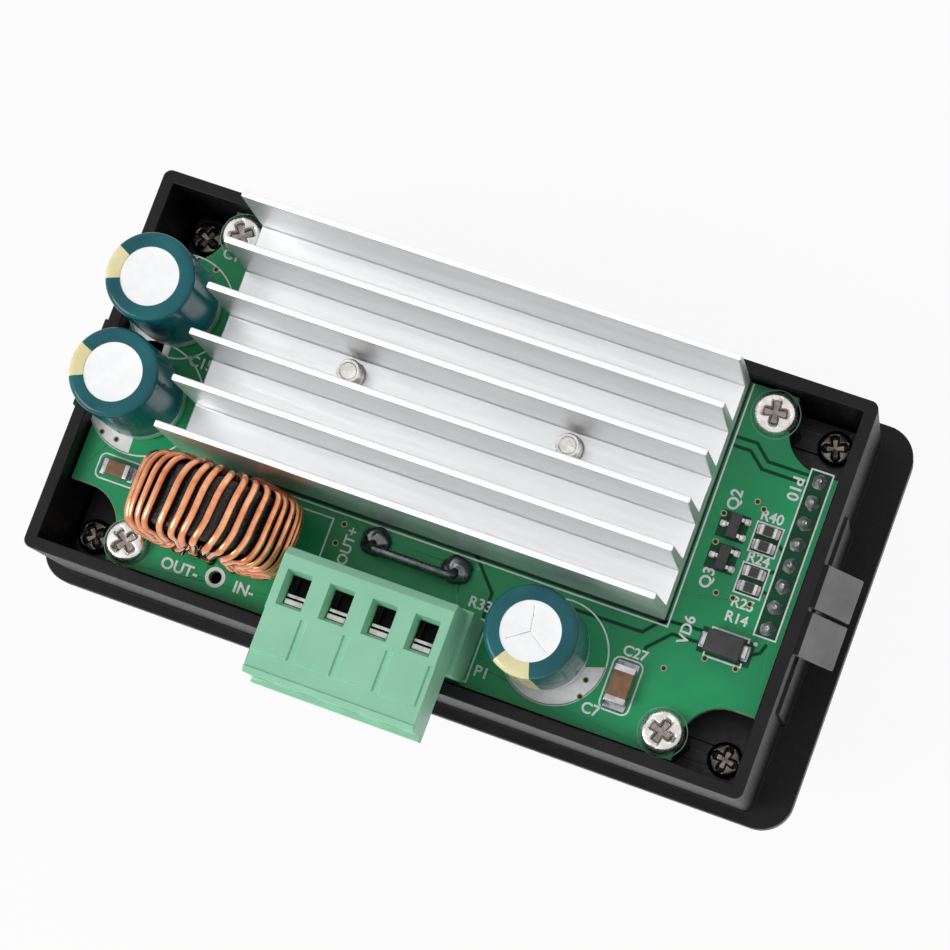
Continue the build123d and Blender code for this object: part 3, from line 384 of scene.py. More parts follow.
finishes = {
    "black_case": makeFinish("caseBlack", (13, 13, 14), (25, 25, 26), 260, (0.36, 0.54),
                             bump=0.35, depth=0.05, specular=0.22),
    "clear_lens": makeFinish("lensClear", (205, 210, 212), (225, 228, 230), 200, (0.04, 0.08),
                             bump=0.02),
    "display_glass": makeFinish("displayGlass", (10, 13, 18), (18, 22, 30), 120, (0.08, 0.14),
                                bump=0.02),
    "white_frame": makeFinish("frameWhite", (212, 213, 208), (228, 229, 224), 220, (0.4, 0.55)),
    "green_board": makeFinish("boardGreen", (12, 132, 80), (30, 166, 106), 55, (0.3, 0.42),
                              fine=30, coat=0.05, specular=0.35),
    "dark_board": makeFinish("boardBlack", (8, 12, 10), (18, 24, 20), 90, (0.3, 0.42), fine=20),
    "black_epoxy": makeFinish("epoxyBlack", (38, 38, 39), (58, 58, 60), 500, (0.4, 0.6),
                              bump=0.4, depth=0.03),
    "chip_black": makeFinish("chipBlack", (42, 42, 44), (62, 62, 64), 600, (0.42, 0.62),
                             bump=0.4, depth=0.03),
    "switch_plastic": makeFinish("switchPlastic", (30, 30, 32), (48, 48, 50), 400, (0.4, 0.5)),
    "key_plastic": makeFinish("keyPlastic", (92, 94, 98), (112, 114, 118), 500, (0.42, 0.56),
                              bump=0.3, depth=0.03),
    "nickel_steel": makeFinish("nickelBright", (206, 203, 198), (244, 241, 236), 900,
                               (0.18, 0.34), metal=0.9, bump=0.25, depth=0.03),
    "brass": makeFinish("brass", (168, 132, 70), (206, 174, 104), 500, (0.25, 0.38), metal=1.0),
    "aluminium": makeFinish("aluminiumDrawn", (241, 242, 243), (250, 250, 251), 60,
                            (0.34, 0.46), metal=1.0, bump=0.3, depth=0.03,
                            stretch=(0.25, 6, 6), fine=9),
    "thermal_rubber": makeFinish("padGrey", (118, 124, 130), (146, 152, 158), 700, (0.6, 0.75)),
    "header_black": makeFinish("headerBlack", (20, 20, 21), (34, 34, 36), 500, (0.4, 0.55)),
    "tin_pin": makeFinish("tin", (168, 168, 166), (214, 214, 210), 900, (0.2, 0.36), metal=1.0),
    "solder": makeFinish("solderGrey", (112, 114, 118), (176, 178, 182), 900, (0.14, 0.34),
                         metal=1.0, bump=0.5, depth=0.08, fine=2),
    "can_metal": makeFinish("canMetal", (240, 241, 242), (248, 248, 249), 500, (0.28, 0.36),
                            metal=0.8, bump=0.03),
    "sleeve": makeFinish("sleeveTeal", (5, 80, 90), (20, 112, 118), 150, (0.14, 0.26),
                         bump=0.12, depth=0.03, coat=0.08, specular=0.28),
    "bung": makeFinish("bungRubber", (26, 26, 27), (40, 40, 42), 500, (0.55, 0.7)),
    "ferrite": makeFinish("ferriteBlack", (12, 12, 13), (74, 74, 76), 2600, (0.35, 0.6),
                          bump=0.7, depth=0.12, fine=1.5, ramp=(0.45, 0.8)),
    "copper": makeFinish("copperEnamel", (218, 132, 86), (248, 190, 148), 700, (0.14, 0.24),
                         metal=1.0, bump=0.05, coat=0.4),
    "shunt_metal": makeFinish("shuntGrey", (84, 86, 88), (124, 126, 128), 900, (0.24, 0.36),
                              metal=1.0, bump=0.15),
    "mint_plastic": makeFinish("mintPlastic", (148, 214, 178), (160, 225, 190), 160,
                               (0.32, 0.46), bump=0.2, depth=0.03, fine=14),
    "ceramic_brown": makeFinish("ceramicBrown", (118, 84, 60), (150, 112, 84), 900,
                                (0.4, 0.6), bump=0.3),
}
boardGreen, tin, solderGrey = (finishes[k] for k in ("green_board", "tin_pin", "solder"))
# painted reflection: the black leaves of the case are painted grey for the light they reflect
leafPaintedSheen = makeFinish("leafPaintedSheen", (118, 118, 118), (148, 148, 148), 180, (0.2, 0.34), bump=0.1)
boardEdge = makeFinish("boardEdge", (120, 146, 104), (166, 186, 140), 900, (0.5, 0.7))
silkWhite = makeFinish("silkWhite", (232, 236, 234), (248, 250, 249), 1500, (0.5, 0.65))
traceDark = makeFinish("traceDark", (2, 56, 32), (8, 72, 44), 300, (0.34, 0.46), specular=0.15)
boardShade = makeFinish("boardShade", (4, 60, 36), (12, 84, 50), 300, (0.3, 0.42), specular=0.2)
ringGold = makeFinish("ringGold", (150, 146, 104), (188, 182, 134), 900, (0.3, 0.42), metal=0.6)
# painted shade: a near-black disc stands for the shade down inside each via hole
holePaintedShade = makeFinish("holePaintedShade", (4, 5, 5), (10, 12, 11), 500, (0.6, 0.8))
stripeYellow = makeFinish("stripeYellow", (242, 230, 166), (254, 246, 192), 260, (0.18, 0.3),
                          bump=0.1, coat=0.3)
ceramicWhite = makeFinish("ceramicWhite", (196, 196, 190), (222, 222, 216), 900, (0.4, 0.55))
jointSolder = makeFinish("jointSolder", (130, 132, 134), (206, 208, 210), 1600, (0.26, 0.46),
                         metal=0.7, bump=0.5, depth=0.06, fine=2)
blobSolder = makeFinish("blobSolder", (74, 75, 77), (132, 134, 137), 500, (0.14, 0.3), metal=0.9,
                        bump=0.6, depth=0.12, fine=2)
# painted shade: the steel down in a screw's recess is painted darker
recessPaintedShade = makeFinish("recessPaintedShade", (112, 104, 98), (164, 156, 150), 1100, (0.2, 0.38),
                        metal=0.9, bump=0.5, depth=0.06, fine=2)
# painted shade: the mint plug painted near black inside its clamp pockets
pocketPaintedShade = makeFinish("pocketPaintedShade", (10, 20, 15), (16, 28, 22), 300, (0.5, 0.65))
# painted shade: the contact bars painted near black below their tops
contactPaintedShade = makeFinish("contactPaintedShade", (16, 16, 16), (30, 30, 29), 600, (0.4, 0.55), metal=0.6)
# painted shade: a darker copy of the screw steel, for the case screws down in their wells
caseSteelPaintedShade = makeFinish("caseSteelPaintedShade", (96, 92, 88), (142, 138, 132), 900, (0.2, 0.36), metal=1.0,
                       bump=0.3, depth=0.04)
rimGreen = makeFinish("rimGreen", (96, 150, 118), (128, 176, 146), 900, (0.35, 0.5))


def shadeAndHighlightFinish(material, low, middle, high, stops=(0.42, 0.74, 0.97)):
    # painted shade and highlight: the colour follows the piece's own "tone" attribute, painted
    # dark as shade low in the crevices, and near white as a painted highlight high outside
    tree = material.node_tree
    tone, ramp = makeNode(tree, "Attribute"), makeNode(tree, "ValToRGB")
    tone.attribute_name = "tone"
    paintRamp(ramp, (stops[0], stops[2], stops[1]), (low, high, middle))
    base = tree.nodes["Principled BSDF"].inputs["Base Color"]
    mixed = makeNode(tree, "Mix")
    mixed.data_type, mixed.blend_type = "RGBA", "MULTIPLY"
    setInputs(mixed, ("Factor", 1.0))
    tree.links.new(tone.outputs["Fac"], ramp.inputs["Fac"])
    tree.links.new(base.links[0].from_socket, mixed.inputs["A"])
    tree.links.new(ramp.outputs["Color"], mixed.inputs["B"])
    tree.links.new(mixed.outputs["Result"], base)


# the copper: painted shade in the crevices between turns, a near-white painted highlight on each
# turn's outer crest
shadeAndHighlightFinish(finishes["copper"], (96, 58, 44), (206, 180, 166), (255, 254, 252))

setInputs(finishes["clear_lens"].node_tree.nodes["Principled BSDF"],
          ("Transmission Weight", 0.9), ("IOR", 1.49))

for nodeName, node in nodes.items():
    node.data.materials.clear()
    node.data.materials.append(finishes[slotOf[nodeName]])
print("finishes on", len(nodes), "nodes")


# Case

case = {"edge": 0.16, "wallX": 44.3, "leafOut": 0.9, "leafAbove": 6.0, "frameEdge": 0.12,
        "keyEdge": 0.3}


def casePart(x, y, z, normal):
    # the bent leaves stand off the end walls, above the bezel, and are painted grey as a
    # painted reflection on their black plastic
    return 1 if abs(x) > case["wallX"] + case["leafOut"] and z > case["leafAbove"] else 0


softCopy("shell_with_bezel", case["edge"], [finishes["black_case"], leafPaintedSheen], pick=casePart)
softCopy("display_frame", case["frameEdge"], [finishes["white_frame"]])
for number in range(1, 5):
    softCopy(f"key_cap_{number}", case["keyEdge"], [finishes["key_plastic"]], segments=4)
print("case")


# Boards

board = {"edge": 0.06, "trace": 0.4, "rim": 0.12, "rimRadius": 2.85, "screwX": 33.2,
         "screwY": 19.3, "film": 0.012, "shadeFilm": 0.006}
layer = {"shade": 0.001, "trace": 0.002, "rim": 0.003, "silk": 0.005}  # lift off the board


def boardPart(x, y, z, normal):
    # the cut sides show the bare laminate
    return 1 if abs(normal[2]) < 0.5 else 0


softCopy("power_board", board["edge"], [boardGreen, boardEdge], segments=1, flatFaces=False,
         pick=boardPart)
softCopy("control_board", board["edge"], [finishes["dark_board"]], segments=1, flatFaces=False)

silk = {"line": 0.19, "thin": 0.12, "bracket": 0.2, "padRing": 0.42}
silkZ = boardTop + layer["silk"]
labels = [("OUT-", -26.3, -20.1, 0, 1.9), ("IN-", -18.2, -20.0, 0, 1.9),
          ("OUT+", -8.4, -11.2, 90, 1.7), ("P10", 38.1, 11.9, -90, 1.9),
          ("Q2", 32.1, 8.5, 90, 1.9), ("Q3", 32.1, -1.0, 90, 1.9),
          ("R40", 36.8, 7.85, 0, 1.7), ("R24", 36.9, 2.8, 0, 1.7),
          ("R25", 36.9, -2.6, 0, 1.7), ("R14", 36.8, -4.4, 0, 1.7),
          ("VD6", 31.9, -7.4, 90, 1.8), ("C27", 27.3, -11.9, 0, 1.7),
          ("C7", 24.6, -19.6, 0, 1.8), ("P1", 11.4, -19.8, 0, 1.8),
          ("R33", 8.6, -12.5, 0, 1.8), ("C14", -33.4, 16.8, 0, 1.8),
          ("C15", -32.6, 3.4, 0, 1.8)]
vias = [(34.6, 9.1), (35.55, 8.5), (31.4, 6.6), (31.6, 3.2), (33.6, -2.3), (35.6, -2.25),
        (37.65, -2.3), (34.9, -9.8), (38.6, -9.8), (30.9, -12.4), (-35.0, 14.6),
        (-41.0, -8.0), (-39.0, -8.3), (23.0, -16.6), (23.0, -18.6), (-9.7, -8.9), (-9.9, -11.3)]
traces = [[(29.7, 15.45), (32.3, 15.5), (34.2, 13.85), (39.2, 13.85)],
          [(29.7, 14.4), (31.9, 14.4), (33.8, 12.8), (39.2, 12.8)],
          [(6.0, -7.0), (9.4, -10.8), (9.4, -14.0)],
          [(19.0, -9.4), (27.2, -9.3), (28.5, -7.8), (29.8, -7.1), (33.6, -6.9)],
          [(28.2, -11.4), (28.2, -10.8), (30.5, -8.4), (33.6, -8.3)],
          [(38.0, 5.6), (39.2, 4.6)], [(38.0, 1.6), (39.2, 2.1)], [(38.0, -0.6), (39.2, -0.5)],
          [(29.22, 21.9), (29.22, -7.35), (-24.0, -7.35)],
          [(39.6, -7.8), (40.6, -7.2), (41.0, -6.0)]]
rings = [(-37.4, 9.1, 6.3, 92, 276), (-37.4, -2.6, 6.9, 92, 273), (18.55, -14.7, 6.15, 215, 362)]
silkLines = [("line", [(-24.0, -7.8), (29.7, -7.8), (29.7, 21.9)]),
             ("thin", [(-24.0, -6.9), (28.75, -6.9), (28.75, 21.9)]),
             ("bracket", [(34.6, -6.9), (34.6, -6.1), (39.0, -6.1), (39.0, -6.6)]),
             ("bracket", [(34.6, -8.7), (34.6, -9.5), (39.0, -9.5), (39.0, -9.0)]),
             ("line", [(-31.3, -17.5), (-23.6, -17.5)]),
             ("line", [(-20.2, -17.5), (-11.1, -17.5), (-11.1, -8.7), (-30.0, -8.7)]),
             ("line", [(9.0, -14.0), (10.05, -14.0), (10.05, -21.4), (9.0, -21.4)])]
silkFrames = [box2d(39.2, -5.4, 41.8, 14.7), box2d(35.4, 3.5, 38.5, 7.0),
              box2d(35.4, -1.5, 38.5, 2.1), roundedOutline(1.75, 3.15, 0.8) + [27.0, -15.9],
              roundedOutline(2.6, 1.5, 0.7) + [-37.4, -11.7]]
shades = [(39.3, -5.3, 41.7, 14.6), (31.2, 3.9, 34.6, 7.1), (31.2, 0.1, 34.6, 3.3),
          (35.5, 3.6, 38.4, 6.9), (35.5, -1.4, 38.4, 2.0), (33.6, -9.3, 39.9, -6.3)]

marks = [ribbon(line, silk[kind], silkZ) for kind, line in silkLines]
marks += [ribbon(outline, silk["line"], silkZ, closed=True) for outline in silkFrames]
for x, y, radius, start, end in rings:
    # a circle, and its part beyond the chord from start to end filled in
    marks.append(ribbon(circlePoints(radius, x, y), silk["line"], silkZ, closed=True))
    marks.append(plate(arcPoints(radius, start, end, 28, x, y), silkZ))
marks += [textShape(words, size, x, y, silkZ, turn) for words, x, y, turn, size in labels]
marks += [ribbon(circlePoints(1.0, -21.9, -19.7, 36), silk["padRing"], silkZ, closed=True),
          placed(discShape(0.25, 0.03, 16), 39.8, -6.4, silkZ)]
addPiece("silk_marks", joinShapes(*marks), [silkWhite], body="module")

lines = [ribbon(line, board["trace"], boardTop + layer["trace"], board["film"])
         for line in traces]
lines += [ribbon(circlePoints(board["rimRadius"], sx * board["screwX"], sy * board["screwY"]),
                 board["rim"], boardTop + layer["rim"], board["film"], closed=True, slot=1)
          for sx in (-1, 1) for sy in (-1, 1)]
addPiece("trace_gaps", joinShapes(*lines), [traceDark, rimGreen], body="module")
patches = [plate(box2d(*corners), boardTop + layer["shade"], board["shadeFilm"])
           for corners in shades]
addPiece("board_shades", joinShapes(*patches), [boardShade], body="module")

viaRing = [(0.24, 0.045), (0.37, 0.045), (0.39, 0.0), (0.24, 0.0), (0.24, 0.045)]
# a gold ring round each via, and a disc of painted shade in its hole
viaShape = joinShapes(polarBody(viaRing, 20), discShape(0.25, 0.05, 20, slot=1))
addPiece("vias", joinShapes(*(placed(viaShape, x, y, boardTop) for x, y in vias)),
         [ringGold, holePaintedShade], body="module")
print("boards, silk, traces and vias")


# Screws

boardScrew = {"x": board["screwX"], "y": board["screwY"], "z": boardTop, "radius": 2.5,
              "height": 1.7, "thread": 1.25, "length": 4.6, "turns": (8, 31, 52, 74)}
caseScrew = {"x": 40.1, "y": 19.3, "z": boxOf("control_board")[1][2], "radius": 2.1,
             "height": 1.6, "thread": 1.1, "length": 7.1, "turns": (20, 65, 40, 80)}
sinkScrew = {"radius": 1.5, "pitch": 0.5, "depth": 0.16, "head": 2.7, "headHeight": 2.0,
             "sides": 40}


def crossDent(reach, width, depth):
    # a cross, its arms wider outwards: full depth along them, running out towards the reach
    def dent(x, y):
        half = width / 2 * (0.8 + 0.35 * np.hypot(x, y) / reach)
        arm = np.clip((half - np.minimum(abs(x), abs(y))) / (width * 0.22), 0, 1)
        ends = np.clip((reach - np.hypot(x, y)) / (reach * 0.35), 0, 1)
        return depth * arm * ends * (1 - 0.35 * np.hypot(x, y) / reach)
    return dent


def panScrew(size):
    # head: crowned top, round shoulder, straight side; shank: radius waved by a cosine of the
    # depth; the faces down in the recess are painted darker, as painted shade
    radius, height, shoulder = size["radius"], size["height"], size["radius"] * 0.3
    top = np.linspace(0, radius - shoulder, 26)
    crown = height - 0.12 * height * (top / radius) ** 2
    a = np.linspace(0, math.pi / 2, 7)[1:]
    drop = crown[-1] - shoulder * (1 - np.cos(a))
    head = list(zip(top, crown)) + list(zip(radius - shoulder + shoulder * np.sin(a), drop))
    head += [(radius, 0.08), (radius - 0.08, 0.0)]
    depth = np.arange(0.2, size["length"], 0.11)
    thread = size["thread"] - 0.07 - 0.07 * np.cos(depth / 0.45 * fullTurn)
    shank = list(zip(thread, -depth)) + [(0, -size["length"])]
    recess = crossDent(radius * 0.74, radius * 0.5, height * 0.5)
    points, faces, slots = polarBody(head + shank, 96, recess, height * 0.7)
    flat = np.array([points[face].mean(0) for face in faces])
    sunk = (flat[:, 2] < height * 0.74) & (np.hypot(flat[:, 0], flat[:, 1]) < radius * 0.66)
    return points, faces, np.where(sunk & (flat[:, 2] > 0.1), 1, 0).tolist()


def screwSet(size):
    # a screw in each corner, each turned its own way
    corners = [(1, 1), (-1, 1), (-1, -1), (1, -1)]
    return joinShapes(*(placed(panScrew(size), size["x"] * sx, size["y"] * sy, size["z"], turn)
                        for (sx, sy), turn in zip(corners, size["turns"])))


addPiece("pan_board_screws", screwSet(boardScrew), [finishes["nickel_steel"], recessPaintedShade],
         "board_screws")
# the case screws take the darker steel: painted shade for their deep wells
addPiece("pan_case_screws", screwSet(caseScrew), [caseSteelPaintedShade, recessPaintedShade], "case_screws")

screwsLow, screwsHigh, screwsMiddle = boxOf("heatsink_screws")
reachX = (screwsHigh[0] - screwsLow[0]) / 2 - sinkScrew["head"]


def sinkScrewShape(s):
    # threaded end: radius less depth * a triangle wave that climbs one pitch a turn
    head, top, sides = s["head"], s["headHeight"], s["sides"]
    rise = np.arange(0, screwsHigh[2] - screwsLow[2] - top, 0.07)
    angle = ringAngles(sides)
    wave = (rise[:, None] / s["pitch"] + angle / fullTurn) % 1
    radius = s["radius"] - s["depth"] * abs(2 * wave - 1)
    radius *= np.clip((rise[-1] - rise + 0.55) / 0.75, 0, 1)[:, None] ** 0.25
    shaft = polarPoints(radius, angle, rise[:, None] + top)
    rows = [shaft[:1] * [0, 0, 1], shaft]
    for inner, low in ((0.8, 0.0), (0.7, 0.12), (0.0, 0.16)):
        rows.append(shaft[-1:] * [inner, inner, 1] - [0, 0, low])
    cap = [(0, 0), (2.3, 0), (2.62, 0.25), (head, 0.6), (head, 1.9), (2.6, top), (0, top)]
    return joinShapes(gridShape(np.concatenate(rows)), polarBody(cap, sides))


sinkScrews = [placed(sinkScrewShape(sinkScrew), screwsMiddle[0] + side * reachX, screwsMiddle[1],
                     screwsLow[2]) for side in (-1, 1)]
addPiece("threaded_sink_screws", joinShapes(*sinkScrews), [finishes["nickel_steel"]],
         "heatsink_screws")
print("screws")


# Heatsink

sink = {"edge": 0.2, "segments": 3, "angle": 32}
softCopy("heatsink", sink["edge"], [finishes["aluminium"]], segments=sink["segments"],
         angle=sink["angle"])
print("heatsink")


# Capacitors

capacitor = {"sides": 120, "canSides": 192, "canRadius": 5.05, "wall": 0.2, "shoulder": 0.62,
             "base": boardTop + 0.3, "top": 32.2, "crimp": 20.3, "bead": 0.6, "dish": 0.06,
             "flat": 3.7, "leanFrom": 20.5}
capSpots = [{"x": -37.4, "y": 9.1, "stripe": (153, 201), "score": "line", "lean": -0.026},
            {"x": -37.4, "y": -2.6, "stripe": (155, 204), "score": "line", "lean": -0.026},
            {"x": 17.5, "y": -14.6, "stripe": (237, 288), "score": "fork", "lean": -0.008}]
scores = {"fork": {"arms": (100, 215, 325), "reach": 2.9, "depth": 0.03, "half": 0.13,
                   "paintedShadeHalf": 0.055},
          "line": {"arms": (70, 250), "reach": 2.9, "depth": 0.012, "half": 0.1,
                   "paintedShadeHalf": None}}


def leant(shape, slope):
    # sheared along X by a small share of the height over the crimp
    points, faces, slots = shape
    over = np.clip(points[:, 2:] - capacitor["leanFrom"], 0, None)
    return points + over * np.array([slope, -0.2 * slope, 0]), faces, slots


def armPlaces(score, x, y):
    # for each arm of a score, how far points lie along it and across it
    for arm in score["arms"]:
        ux, uy = math.cos(math.radians(arm)), math.sin(math.radians(arm))
        yield x * ux + y * uy, abs(y * ux - x * uy)


def scoreDent(score):
    # thin lines pressed into the can's end: a three-armed fork, or one faint straight line
    def dent(x, y):
        lowered = np.zeros_like(x)
        for along, across in armPlaces(score, x, y):
            groove = np.clip(1 - across / score["half"], 0, 1)
            groove *= (along > -0.05) * (along < score["reach"])
            lowered = np.maximum(lowered, score["depth"] * groove)
        return lowered
    return dent


def canShape(score):
    # end disc dished by a fourth power, round bead, side with a crimp near the base
    c = capacitor
    top, radius, bead = c["top"] - c["base"], c["canRadius"], c["bead"]
    disc = [(r, top - c["dish"] + c["dish"] * (r / c["flat"]) ** 4)
            for r in np.linspace(0, c["flat"], 56)]
    a = np.linspace(0, math.pi / 2, 6)[1:]
    rim = list(zip(radius - bead + bead * np.sin(a), top - bead * (1 - np.cos(a))))
    waist = c["crimp"] - c["base"]
    side = [(radius, waist + 0.8), (4.75, waist + 0.3), (4.7, waist), (4.8, waist - 0.3),
            (radius, waist - 0.8), (radius, 0.4), (4.9, 0.0), (0, 0)]
    endZ = top - 0.2
    points, faces, slots = polarBody(disc + rim + side, c["canSides"], scoreDent(score), endZ)
    if score["paintedShadeHalf"]:
        # the faces in the lines are painted a little greyer, as painted shade in the grooves
        middle = np.array([points[face].mean(0) for face in faces])
        inLine = np.zeros(len(faces), bool)
        for along, across in armPlaces(score, middle[:, 0], middle[:, 1]):
            inLine |= (across < score["paintedShadeHalf"]) & (along > 0) & (along < score["reach"])
        slots = np.where(inLine & (middle[:, 2] > endZ), 1, 0).tolist()
    return points, faces, slots


def sleeveShape(stripeStart, stripeEnd):
    # shrunk film: side, round shoulder, lip lying on the can's end, and back inside; the pale
    # stripe has a column of dark dashes down its middle
    c = capacitor
    outer, shoulder = c["canRadius"] + c["wall"], c["shoulder"]
    a = np.radians(np.linspace(0, 90, 7))
    side = [(5.0, 19.2), (4.95, 19.9), (5.05, 20.5), (outer, 21.2)]
    side += [(outer, z) for z in np.arange(21.6, 31.61, 0.4)]
    bend = list(zip(outer - shoulder + shoulder * np.cos(a), 31.8 + shoulder * np.sin(a)))
    lip = [(4.3, 32.42), (3.9, 32.38), (3.62, 32.36), (3.48, 32.34), (3.45, 32.27), (3.5, 32.21)]
    inside = [(4.4, 32.21), (4.95, 31.9), (5.06, 31.4), (5.06, 21.2), (4.9, 20.2), (4.9, 19.2)]
    profile = np.array(side + bend + lip + inside)
    rows, sides = len(profile), c["sides"]
    angle = ringAngles(sides)
    wobble = 1 + 0.004 * np.sin(3 * angle + 0.7) * (profile[:, 1:] > 32)
    points = polarPoints(profile[:, :1] * wobble, angle, profile[:, 1:])
    shape, faces, slots = gridShape(points, closeRows=True)
    degrees = (np.arange(sides) + 0.5) * 360 / sides
    inStripe = (degrees > stripeStart) & (degrees < stripeEnd)
    middle = (stripeStart + stripeEnd) / 2
    slots = np.where(np.tile(inStripe, rows), 1, 0)
    row = np.repeat(np.arange(rows), sides)
    column = np.tile(abs(degrees - middle) < 9, rows)
    slots[(row > 4) & (row < 30) & (row % 8 < 2) & column] = 0
    return shape, faces, slots.tolist()


cans = [leant(placed(canShape(scores[spot["score"]]), spot["x"], spot["y"], capacitor["base"]),
              spot["lean"]) for spot in capSpots]
addPiece("scored_cans", joinShapes(*cans), [finishes["can_metal"], tin], "capacitor_cans")
sleeves = [leant(placed(sleeveShape(*spot["stripe"]), spot["x"], spot["y"]), spot["lean"])
           for spot in capSpots]
addPiece("striped_sleeves", joinShapes(*sleeves), [finishes["sleeve"], stripeYellow],
         "capacitor_sleeves")
print("capacitors")


# Inductor

coil = {"x": -21.9, "y": -13.7, "z": 27.72, "wire": 0.5, "wireSides": 12, "turns": 31,
        "outer": 9.42, "hole": 4.68, "core": 7.05, "innerLayer": 3.8, "side": 4.3,
        "sideLift": 0.55, "squareness": 0.52, "start": 247.0, "span": 308.0, "gap": 6.0,
        "gapAt": 12.5, "perTurn": 44, "slantShare": 0.93, "footX": 1.2, "footY": 4.32,
        "leadSteps": 14}


def coilPath(c):
    # around the core's section: (radius, y) on a squared circle, every second turn a layer
    # further in and out; round the ring: the angle falls by span / turns each turn, nearly
    # all of it on the outside, wanders a little and skips a gap once
    count = int((c["turns"] + 0.5) * c["perTurn"])
    turn = np.arange(count + 1) / c["perTurn"]
    whole, part = np.floor(turn), turn % 1
    section = (part - 0.25) * fullTurn
    inner = np.where(whole % 2 == 1, c["innerLayer"], c["hole"])
    cosine, sine = np.cos(section), np.sin(section)
    reach = np.sign(cosine) * abs(cosine) ** c["squareness"]
    swing = np.sign(sine) * abs(sine) ** c["squareness"]
    middle, half = (c["outer"] + inner) / 2, (c["outer"] - inner) / 2
    radius = middle + half * reach
    lift = np.where(whole % 2 == 1, c["sideLift"], 0) * np.clip(0.7 - reach, 0, 1)
    y = (c["side"] + lift) * swing
    out = np.clip(part / 0.5, 0, 1)
    share = c["slantShare"] * (3 * out**2 - 2 * out**3)
    share = share + (1 - c["slantShare"]) * np.clip((part - 0.5) / 0.5, 0, 1)
    passed = np.clip(turn - c["gapAt"] + 0.5, 0, 1)
    step = c["span"] / c["turns"]
    wander = 0.9 * np.sin(turn * 2.1) + 0.6 * np.sin(turn * 0.83 + 1.0)
    angle = np.radians(c["start"] - step * (whole + share) - c["gap"] * passed + wander)
    x, z = radius * np.cos(angle), radius * np.sin(angle)
    path = np.stack([x, y, z], -1)
    centre = np.stack([c["core"] * np.cos(angle), 0 * y, c["core"] * np.sin(angle)], -1)
    return path, path - centre


def leadPath(c, start, sign):
    # a quadratic curve from an end of the winding down to its foot in the board
    foot = np.array([c["footX"] * sign, c["footY"] * sign, wireEnd - c["z"]])
    knee = np.array([foot[0], foot[1], start[2] - 1.6])
    t = np.linspace(0, 1, c["leadSteps"] + 1)[1:, None]
    return start * (1 - t) ** 2 + 2 * t * (1 - t) * knee + foot * t**2


path, outward = coilPath(coil)
path = np.concatenate([leadPath(coil, path[0], -1)[::-1], path, leadPath(coil, path[-1], 1)])
outward = np.concatenate([np.repeat(outward[:1], coil["leadSteps"], 0), outward,
                          np.repeat(outward[-1:], coil["leadSteps"], 0)])
winding = placed(tube(path, coil["wire"], outward, coil["wireSides"]), coil["x"], coil["y"],
                 coil["z"])
wound = addPiece("copper_winding", winding, [finishes["copper"]], "inductor_winding")
# tone: 1 on the wire's outer crest, 0.5 at its sides, 0 towards the core; it drives the painted
# shade and highlight
around = np.sin(ringAngles(coil["wireSides"])) * 0.5 + 0.5
wound.data.attributes.new("tone", "FLOAT", "POINT").data.foreach_set(
    "value", np.tile(around, len(path)).astype(np.float32))
print("inductor")


# Shunt and its solder

shunt = {"x": -0.4, "y": -9.6, "span": 10.1, "wire": 0.55, "sides": 20, "rise": 2.0,
         "bend": 0.8, "leg": 0.5, "side": 1.1, "blobRadius": 1.78, "blobHeight": 1.45}


def roundedPath(corners, radius, steps=8):
    # straight runs joined by a quadratic curve that starts `radius` before each corner
    corners = np.array(corners, float)
    runs = [corners[:1]]
    for before, corner, after in zip(corners[:-2], corners[1:-1], corners[2:]):
        near = corner + (before - corner) * radius / np.linalg.norm(before - corner)
        far = corner + (after - corner) * radius / np.linalg.norm(after - corner)
        t = np.linspace(0, 1, steps)[:, None]
        runs.append(near * (1 - t) ** 2 + 2 * corner * t * (1 - t) + far * t**2)
    return np.concatenate(runs + [corners[-1:]])


def shuntPath(s):
    # up out of one pad, slanting to the side, along, and back into the other pad
    half, side, top = s["span"] / 2, s["y"] - s["side"], boardTop + s["rise"]
    leg = boardTop + s["leg"]
    corners = [(-half, s["y"], wireEnd), (-half, s["y"], leg), (-half, side, top),
               (half, side, top), (half, s["y"], leg), (half, s["y"], wireEnd)]
    return roundedPath(corners, s["bend"]) + [s["x"], 0, 0]


addPiece("shunt_rod", tube(shuntPath(shunt), shunt["wire"], (0, 1, 0), shunt["sides"]),
         [finishes["shunt_metal"]], "current_shunt")


def blobShape(radius, height, seed):
    # a dome, its radius and height waved a little round the circle
    a = np.linspace(0, math.pi / 2, 22)
    profile = np.stack([np.sin(a) ** 0.9, np.cos(a) ** 0.75], -1)
    angle = ringAngles(64)
    wave = 1 + 0.05 * np.sin(2 * angle + seed) + 0.035 * np.sin(5 * angle + 2 * seed)
    lumps = 0.09 * np.sin(angle + seed) + 0.07 * np.sin(3 * angle + 9 * profile[:, :1] + seed)
    z = height * profile[:, 1:] * (0.93 + lumps * profile[:, :1])
    top = polarPoints(radius * profile[:, :1] * wave, angle, z)
    base = top[-1:] * [1, 1, 0]
    return gridShape(np.concatenate([top, base, base * 0]))


blobs = [placed(blobShape(shunt["blobRadius"], shunt["blobHeight"], seed),
                shunt["x"] + side * shunt["span"] / 2, shunt["y"], boardTop)
         for side, seed in ((-1, 0.4), (1, 2.1))]
addPiece("shunt_blobs", joinShapes(*blobs), [blobSolder], "shunt_solder")

joint = {"count": 8, "pitch": 2.54, "middle": boxOf("link_solder")[2], "sides": 36,
         "radius": (0, 0.1, 0.24, 0.34, 0.44, 0.56, 0.68, 0.8, 0.86, 0),
         "height": (0.74, 0.86, 0.9, 0.8, 0.6, 0.38, 0.2, 0.08, 0, 0)}


